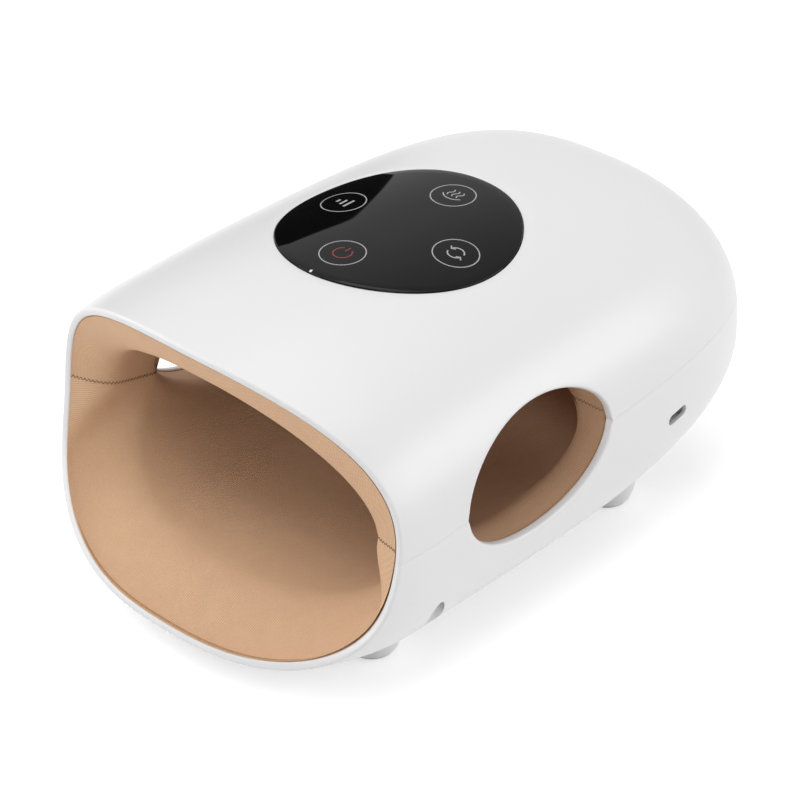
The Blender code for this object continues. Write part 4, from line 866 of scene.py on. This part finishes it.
def knitted(name, dark, light, deep, rib, stitch, bump):
    """A knit with painted shade: dark deep in the pocket's upper middle, light at the mouth and the
    sides.
    """
    made, tree, shader = new_material(name)
    knit = add_node(tree, "ShaderNodeGroup", node_tree=rib_knit, in_0=rib, in_1=stitch)
    spread = add_node(tree, "ShaderNodeMapRange", knit.outputs["Mask"], in_1=0.15, in_2=0.95)
    place = tree.nodes.new("ShaderNodeTexCoord")
    x, y, z = add_node(tree, "ShaderNodeSeparateXYZ", place.outputs["Object"]).outputs
    # Painted shade: the colour darkens deep in the pocket, more towards its roof and less towards the
    # sides.
    fades = []
    for way, start, end, low, high in (
        (y, -0.085, -0.025, 0.0, 1.0),
        (z, 0.028, 0.048, 0.38, 1.0),
        (math_of(tree, "ABSOLUTE", x), 0.052, 0.064, 1.0, 0.35),
    ):
        reach = {"in_1": start, "in_2": end, "in_3": low, "in_4": high}
        fade = add_node(tree, "ShaderNodeMapRange", way, interpolation_type="SMOOTHSTEP", **reach)
        fades.append(fade.outputs[0])
    painted_shade = math_of(tree, "MULTIPLY", math_of(tree, "MULTIPLY", fades[0], fades[1]), fades[2])
    toned = add_node(tree, "ShaderNodeMix", data_type="RGBA", blend_type="MULTIPLY")
    toned.inputs["Factor"].default_value = 1
    tree.links.new(two_tone(tree, spread.outputs[0], dark, light), toned.inputs["A"])
    tree.links.new(two_tone(tree, painted_shade, (1, 1, 1), deep), toned.inputs["B"])
    colour, fuzz, height = toned.outputs["Result"], knit.outputs["Fuzz"], knit.outputs["Height"]
    surfaced(tree, shader, colour, fuzz, (0.75, 0.95), height, 0.6, bump)
    return made


# The third tone is painted shade, the colour deep in the pocket.
knit_and_shade_tones = (0.60, 0.37, 0.22), (0.86, 0.58, 0.37), (0.24, 0.14, 0.085)
RIB_WIDE, STITCH_TALL = 0.00075, 0.0005
tan_knit = knitted("tan_knit", *knit_and_shade_tones, RIB_WIDE, STITCH_TALL, 0.00012)
for name, half in (("lining_roof", 1), ("lining_floor", -1)):
    lining = half_lining(name, half, 56)
    smooth(lining, 60)
    dress(lining, tan_knit, "housing", "lining_upper" if half > 0 else "lining_lower")

# A narrow golden-brown tube, darker than the knit, runs along the joint between the lip and the lining.
# Two welts of twisted cord close the sleeves against the thumb holes. Brown zigzag stitches hold the
# lining's halves together at the sides.
STITCH_LONG, STITCH_ASIDE, STITCH_PROUD, SEAM_END_Y = 0.0013, 0.00045, 0.0001, 0.030


def thread(name, lines, radius, closed=False):
    """A round thread along each line of points, made one mesh."""
    bpy.ops.object.select_all(action="DESELECT")
    bpy.ops.curve.primitive_bezier_curve_add()
    piece = bpy.context.object
    piece.name = name
    piece.data.splines.clear()
    piece.data.dimensions = "3D"
    piece.data.bevel_depth, piece.data.bevel_resolution = radius, 2
    piece.data.use_fill_caps = True
    for line in lines:
        spline = piece.data.splines.new("POLY")
        spline.points.add(len(line) - 1)
        spline.points.foreach_set("co", np.concatenate([line, np.ones((len(line), 1))], 1).ravel())
        spline.use_cyclic_u = closed
    bpy.ops.object.convert(target="MESH")
    piece = bpy.context.object
    piece.name = name
    smooth(piece, 60)
    return piece


welt_brown = grained("welt_brown", (0.34, 0.18, 0.08), (0.58, 0.34, 0.17), (0.7, 0.85), 900, 0.0001)
turn = np.linspace(0, 2 * math.pi, 361)[:-1]
rim_grid = np.stack([body_arc(np.full(360, share), turn) for share in (0.0048, 0.0068)])
rim_line = (rim_grid - facing(rim_grid) * (WALL + 0.00015))[0]
# This tube draws a golden-brown line, darker than the knit, along the lip's inner edge.
dress(thread("mouth_brown_tube", [rim_line], 0.00042, True), welt_brown)
HOLE_STEPS, TUBE_STEPS, SIDE_ANGLE = 144, 8, 1.25
FLANGE_STEPS, BEHIND = (0.0032, 0.0024, 0.0016, 0.0008), 0.00025
around = np.linspace(0, 2 * math.pi, HOLE_STEPS + 1)


def hole_line(arc, grow):
    """The lining's edge round a thumb hole, or a line that far outside it."""
    long_way = (THUMB_LONG + HOLE_TURN_IN + grow) * np.cos(around)
    tall_way = (THUMB_TALL + HOLE_TURN_IN + grow) * np.sin(around)
    y = THUMB_Y + long_way * math.cos(THUMB_LEAN) - tall_way * math.sin(THUMB_LEAN)
    z = THUMB_Z + long_way * math.sin(THUMB_LEAN) + tall_way * math.cos(THUMB_LEAN)
    over = np.full(HOLE_STEPS + 1, SIDE_ANGLE)
    under = -over
    for _ in range(HALVINGS):
        angle = (under + over) / 2
        rim = rim_y(*arch(angle))
        found = arc((y - rim) / (POCKET_END_Y - rim), angle)
        below = found[:, 2] < z
        under, over = np.where(below, angle, under), np.where(below, over, angle)
    line = rolled_out(np.stack([found[:, 0], y, z], -1))
    line[-1] = line[0]
    return line


tips = []
for side_name, side, arc in (("left", -1, other_side), ("right", 1, pocket_arc)):
    inner = hole_line(arc, 0.0)
    wall = wall_x(inner[:, 1], inner[:, 2]) - WALL - GAP
    wall = np.maximum(wall, np.abs(inner[:, 0])) * side
    flange = [hole_line(arc, grow) + (side * BEHIND, 0, 0) for grow in FLANGE_STEPS]
    tube = np.repeat(inner[None], TUBE_STEPS + 1, 0)
    tube[:, :, 0] += (wall - inner[:, 0]) * np.linspace(0, 1, TUBE_STEPS + 1)[:, None]
    rings = np.concatenate([flange, tube])
    run = np.repeat(run_along(rings[0])[None], len(rings), 0)
    cloth = np.stack([run, rings[..., 0]], -1)
    sleeve = sheet_of_rings(f"thumb_sleeve_{side_name}", rings, cloth)
    smooth(sleeve, 60)
    dress(sleeve, tan_knit)
    dress(thread(f"thumb_welt_{side_name}", [rings[-1][:-1]], 0.0003, True), welt_brown)
    tips += [tube[::-1, 0], tube[::-1, HOLE_STEPS // 2]]
zigzags = []
for seam in seams[:2]:
    split = int(np.argmax(np.diff(seam[:, 1]))) + 1
    tips += [seam[:split], seam[split:]]
for line in tips:
    line = line[line[:, 1] < SEAM_END_Y]
    run = run_along(line)[-1]
    spots = even_points(line, max(int(run / STITCH_LONG * 2), 4))
    spots[:, 0] -= np.sign(spots[:, 0]) * STITCH_PROUD
    spots[:, 2] += STITCH_ASIDE * np.where(np.arange(len(spots)) % 2, 1, -1)
    zigzags.append(spots)
seam_brown = grained("seam_brown", (0.07, 0.03, 0.012), (0.20, 0.10, 0.045), (0.6, 0.8), 900, 0.00005)
dress(thread("side_stitches", zigzags, 0.00013), seam_brown)

# Four soft pads of pale silicone are pressed into the feet and stand a millimetre proud of them.
# Each is a round blank with a rolled edge and a shallow dish below, which grips the table.
pad_silicone = grained("pad_silicone", (0.60, 0.60, 0.59), (0.72, 0.72, 0.71), (0.5, 0.65), 250, 0.00004)
for foot, place in zip(("front_left", "rear_left", "front_right", "rear_right"), FEET):
    pad = round_tool(f"silicone_pad_{foot}", PAD_RADIUS, 0.0, PAD_THICK, place)
    select_faces(pad, lambda face: face.normal.z < -0.9)
    bpy.ops.mesh.inset(thickness=0.0016)
    bpy.ops.mesh.inset(thickness=0.0006)
    bpy.ops.transform.translate(value=(0, 0, 0.0003))
    leave_edit()
    edges = {"limit_method": "ANGLE", "angle_limit": math.radians(50)}
    apply_step(pad, "BEVEL", width=0.0004, segments=3, **edges)
    smooth(pad, 40)
    dress(pad, pad_silicone, "housing", f"foot_pad_{foot}")


def finish_nodes(material, *names):
    """Give CAD nodes whose shape is right their real finish."""
    for name in names:
        for slot in nodes[name].material_slots:
            slot.material = material


# The four housing screws are zinc plated steel, driven up through the lower housing from its deep wells.
# The same plated sheet makes the motor's can and the yokes of both valves.
zinc_tones = (0.46, 0.46, 0.45), (0.62, 0.62, 0.60)
zinc_steel = grained("zinc_steel", *zinc_tones, (0.28, 0.45), 500, 0.00002, Metallic=1)
for corner in ("front_left", "front_right", "rear_left", "rear_right"):
    finish_nodes(zinc_steel, f"housing_screw_{corner}")

# The touch board under the panel, the main board and the socket's small board are glass fibre sheet in
# green lacquer over copper tracks, with a black buzzer soldered to the main one.


def lacquered_board(name, under, track, pitch):
    """Green lacquer, paler and a little raised over the tracks."""
    made, tree, shader = new_material(name)
    place = tree.nodes.new("ShaderNodeTexCoord")
    tracks = add_node(tree, "ShaderNodeTexVoronoi", place.outputs["Object"], distance="MANHATTAN")
    tracks.inputs["Scale"].default_value = pitch
    lines = math_of(tree, "PINGPONG", tracks.outputs["Distance"], 0.25)
    mask = math_of(tree, "GREATER_THAN", lines, 0.17)
    surfaced(tree, shader, two_tone(tree, mask, under, track), mask, (0.38, 0.24), mask, 0.4, 0.00005)
    return made


board_green = lacquered_board("board_green", (0.012, 0.10, 0.045), (0.03, 0.22, 0.10), 220)
black_tones = (0.018, 0.018, 0.019), (0.032, 0.032, 0.034)
black_moulding = grained("black_moulding", *black_tones, (0.4, 0.55), 700, 0.00003)
finish_nodes(board_green, "touch_board", "main_board", "charging_board")
finish_nodes(black_moulding, "buzzer")

# The charging socket is a folded steel shell with a tongue in it. It sits on its own small board, right
# behind the slot in the right wall.
steel_tones = (0.55, 0.55, 0.56), (0.68, 0.68, 0.69)
bright_steel = grained("bright_steel", *steel_tones, (0.18, 0.32), 350, 0.00001, Metallic=1)
finish_nodes(bright_steel, "charging_socket")

# Four blocks of soft foam carry the touch of each key to the board, and a rubber foam bed holds the pump.
# Each is a relaxed copy of its CAD solid with an even skin.


def soft_copy(name, node, material, voxel, relax):
    """A merged, evenly remeshed and relaxed copy of a CAD node's mesh, which stands for the node."""
    piece = bpy.data.objects.new(name, nodes[node].data.copy())
    bpy.context.collection.objects.link(piece)
    weld(piece, 0.000001)
    if voxel:
        apply_step(piece, "REMESH", mode="VOXEL", voxel_size=voxel)
        apply_step(piece, "SMOOTH", factor=0.5, iterations=relax)
    smooth(piece, 60)
    dress(piece, material, "housing", node)
    return piece


foam_tones = (0.10, 0.10, 0.105), (0.20, 0.20, 0.21)
key_foam_grey = grained("key_foam_grey", *foam_tones, (0.85, 1.0), 1200, 0.0002)
for key in KEYS:
    soft_copy(f"soft_foam_{key}", f"key_foam_{key}", key_foam_grey, 0.0004, 6)
bed_tones = (0.05, 0.05, 0.055), (0.10, 0.10, 0.11)
pump_bed_grey = grained("pump_bed_grey", *bed_tones, (0.8, 0.95), 800, 0.0002)
soft_copy("soft_pump_bed", "pump_cushion", pump_bed_grey, 0.0008, 4)

# The two frames are natural coloured mouldings that hold the lining and its air bags, and the manifold is
# a third. The battery tray is a black one.
frame_tones = (0.55, 0.55, 0.52), (0.65, 0.65, 0.62)
natural_moulding = grained("natural_moulding", *frame_tones, (0.42, 0.58), 60, 0.00004)
finish_nodes(natural_moulding, "upper_frame", "lower_frame", "air_manifold")
finish_nodes(black_moulding, "battery_tray")

# The air bags are welded from thick film, one over the hand and one under it. Each is blown up a little
# by a cloth simulation, from a start that is slightly too small.
bag_film = grained("bag_film", (0.20, 0.21, 0.22), (0.34, 0.35, 0.37), (0.3, 0.5), 120, 0.0001)
BAG_START, BAG_CAP, BAG_PRESSURE, BAG_MOMENTS = -0.0003, 0.0007, 4, 20
for side in ("upper", "lower"):
    bag = soft_copy(f"film_air_bag_{side}", f"air_bag_{side}", bag_film, 0.0012, 2)
    apply_step(bag, "DISPLACE", strength=BAG_START, mid_level=0)
    slack = corners_of(bag.data)
    cloth = bag.modifiers.new("swell", "CLOTH")
    cloth.settings.use_pressure = True
    cloth.settings.uniform_pressure_force = BAG_PRESSURE
    cloth.settings.effector_weights.gravity = 0
    cloth.point_cache.frame_end = BAG_MOMENTS
    for moment in range(1, BAG_MOMENTS + 1):
        bpy.context.scene.frame_set(moment)
    bpy.context.view_layer.objects.active = bag
    bpy.ops.object.modifier_apply(modifier=cloth.name)
    bpy.context.scene.frame_set(1)
    move = corners_of(bag.data) - slack
    far = np.linalg.norm(move, axis=1, keepdims=True)
    move *= np.minimum(1, BAG_CAP / np.maximum(far, 1e-9))
    bag.data.vertices.foreach_set("co", (slack + move).ravel())
    bag.data.update()

# The heating film under the hand is amber plastic film with carbon tracks across it, one every 5 mm.
# It follows the curve of the pocket's belly.
WAVE_SCALE = 0.314


def striped(name, base, band, pitch, direction, rough, bump, **constants):
    """A material with even bands, such as tracks, windings or cores."""
    made, tree, shader = new_material(name, **constants)
    place = tree.nodes.new("ShaderNodeTexCoord")
    bands = add_node(tree, "ShaderNodeTexWave", place.outputs["Object"], bands_direction=direction)
    set_constants(bands, {"Scale": WAVE_SCALE / pitch, "Distortion": 0.3})
    mask = bands.outputs["Fac"]
    surfaced(tree, shader, two_tone(tree, mask, base, band), mask, rough, mask, 0.6, bump)
    return made


film_tones = (0.42, 0.19, 0.03), (0.012, 0.011, 0.010)
carbon_tracks = striped("carbon_tracks", *film_tones, 0.005, "X", (0.3, 0.5), 0.00003)
soft_copy("warm_film", "heating_film", carbon_tracks, None, 0)

# Two round lithium cells lie side by side in the tray, each in a blue shrink sleeve.
# They have a rolled shoulder and a raised cap at one end.
cell_wrap = grained("cell_wrap", (0.035, 0.11, 0.33), (0.05, 0.15, 0.42), (0.22, 0.34), 90, 0.00003)
finish_nodes(cell_wrap, "battery_cell_1", "battery_cell_2")

# The motor turns an eccentric on its shaft, whose pin nutates the rocker under a silicone diaphragm with
# three cups. The pump's base and cover hold it.
pale_silicone = grained("pale_silicone", (0.62, 0.62, 0.60), (0.74, 0.74, 0.72), (0.4, 0.6), 200, 0.00005)
finish_nodes(zinc_steel, "motor_can")
finish_nodes(bright_steel, "motor_shaft")
finish_nodes(natural_moulding, "eccentric", "pump_rocker")
finish_nodes(black_moulding, "motor_cap", "pump_base", "pump_cover")
soft_copy("silicone_diaphragm", "pump_diaphragm", pale_silicone, 0.0004, 2)

# Each valve is a copper coil in a plated yoke, round a steel plunger that a small spring returns.
# There is one valve for each air bag.
copper_tones = (0.30, 0.09, 0.035), (0.62, 0.25, 0.11)
copper_winding = striped("copper_winding", *copper_tones, 0.0004, "Z", (0.25, 0.4), 0.00008, Metallic=1)
for side in ("upper", "lower"):
    finish_nodes(zinc_steel, f"valve_yoke_{side}")
    finish_nodes(copper_winding, f"valve_coil_{side}")
    finish_nodes(bright_steel, f"valve_plunger_{side}", f"valve_spring_{side}")

# Silicone hoses join the pump, the manifold and both bags. A flat grey lead joins the two large boards.
for name in ("supply", "upper", "lower"):
    soft_copy(f"silicone_hose_{name}", f"hose_{name}", pale_silicone, 0.00045, 4)
lead_tones = (0.30, 0.30, 0.31), (0.52, 0.52, 0.53)
lead_cores = striped("lead_cores", *lead_tones, 0.0004, "X", (0.45, 0.6), 0.00006)
soft_copy("flat_touch_lead", "touch_lead", lead_cores, None, 0)
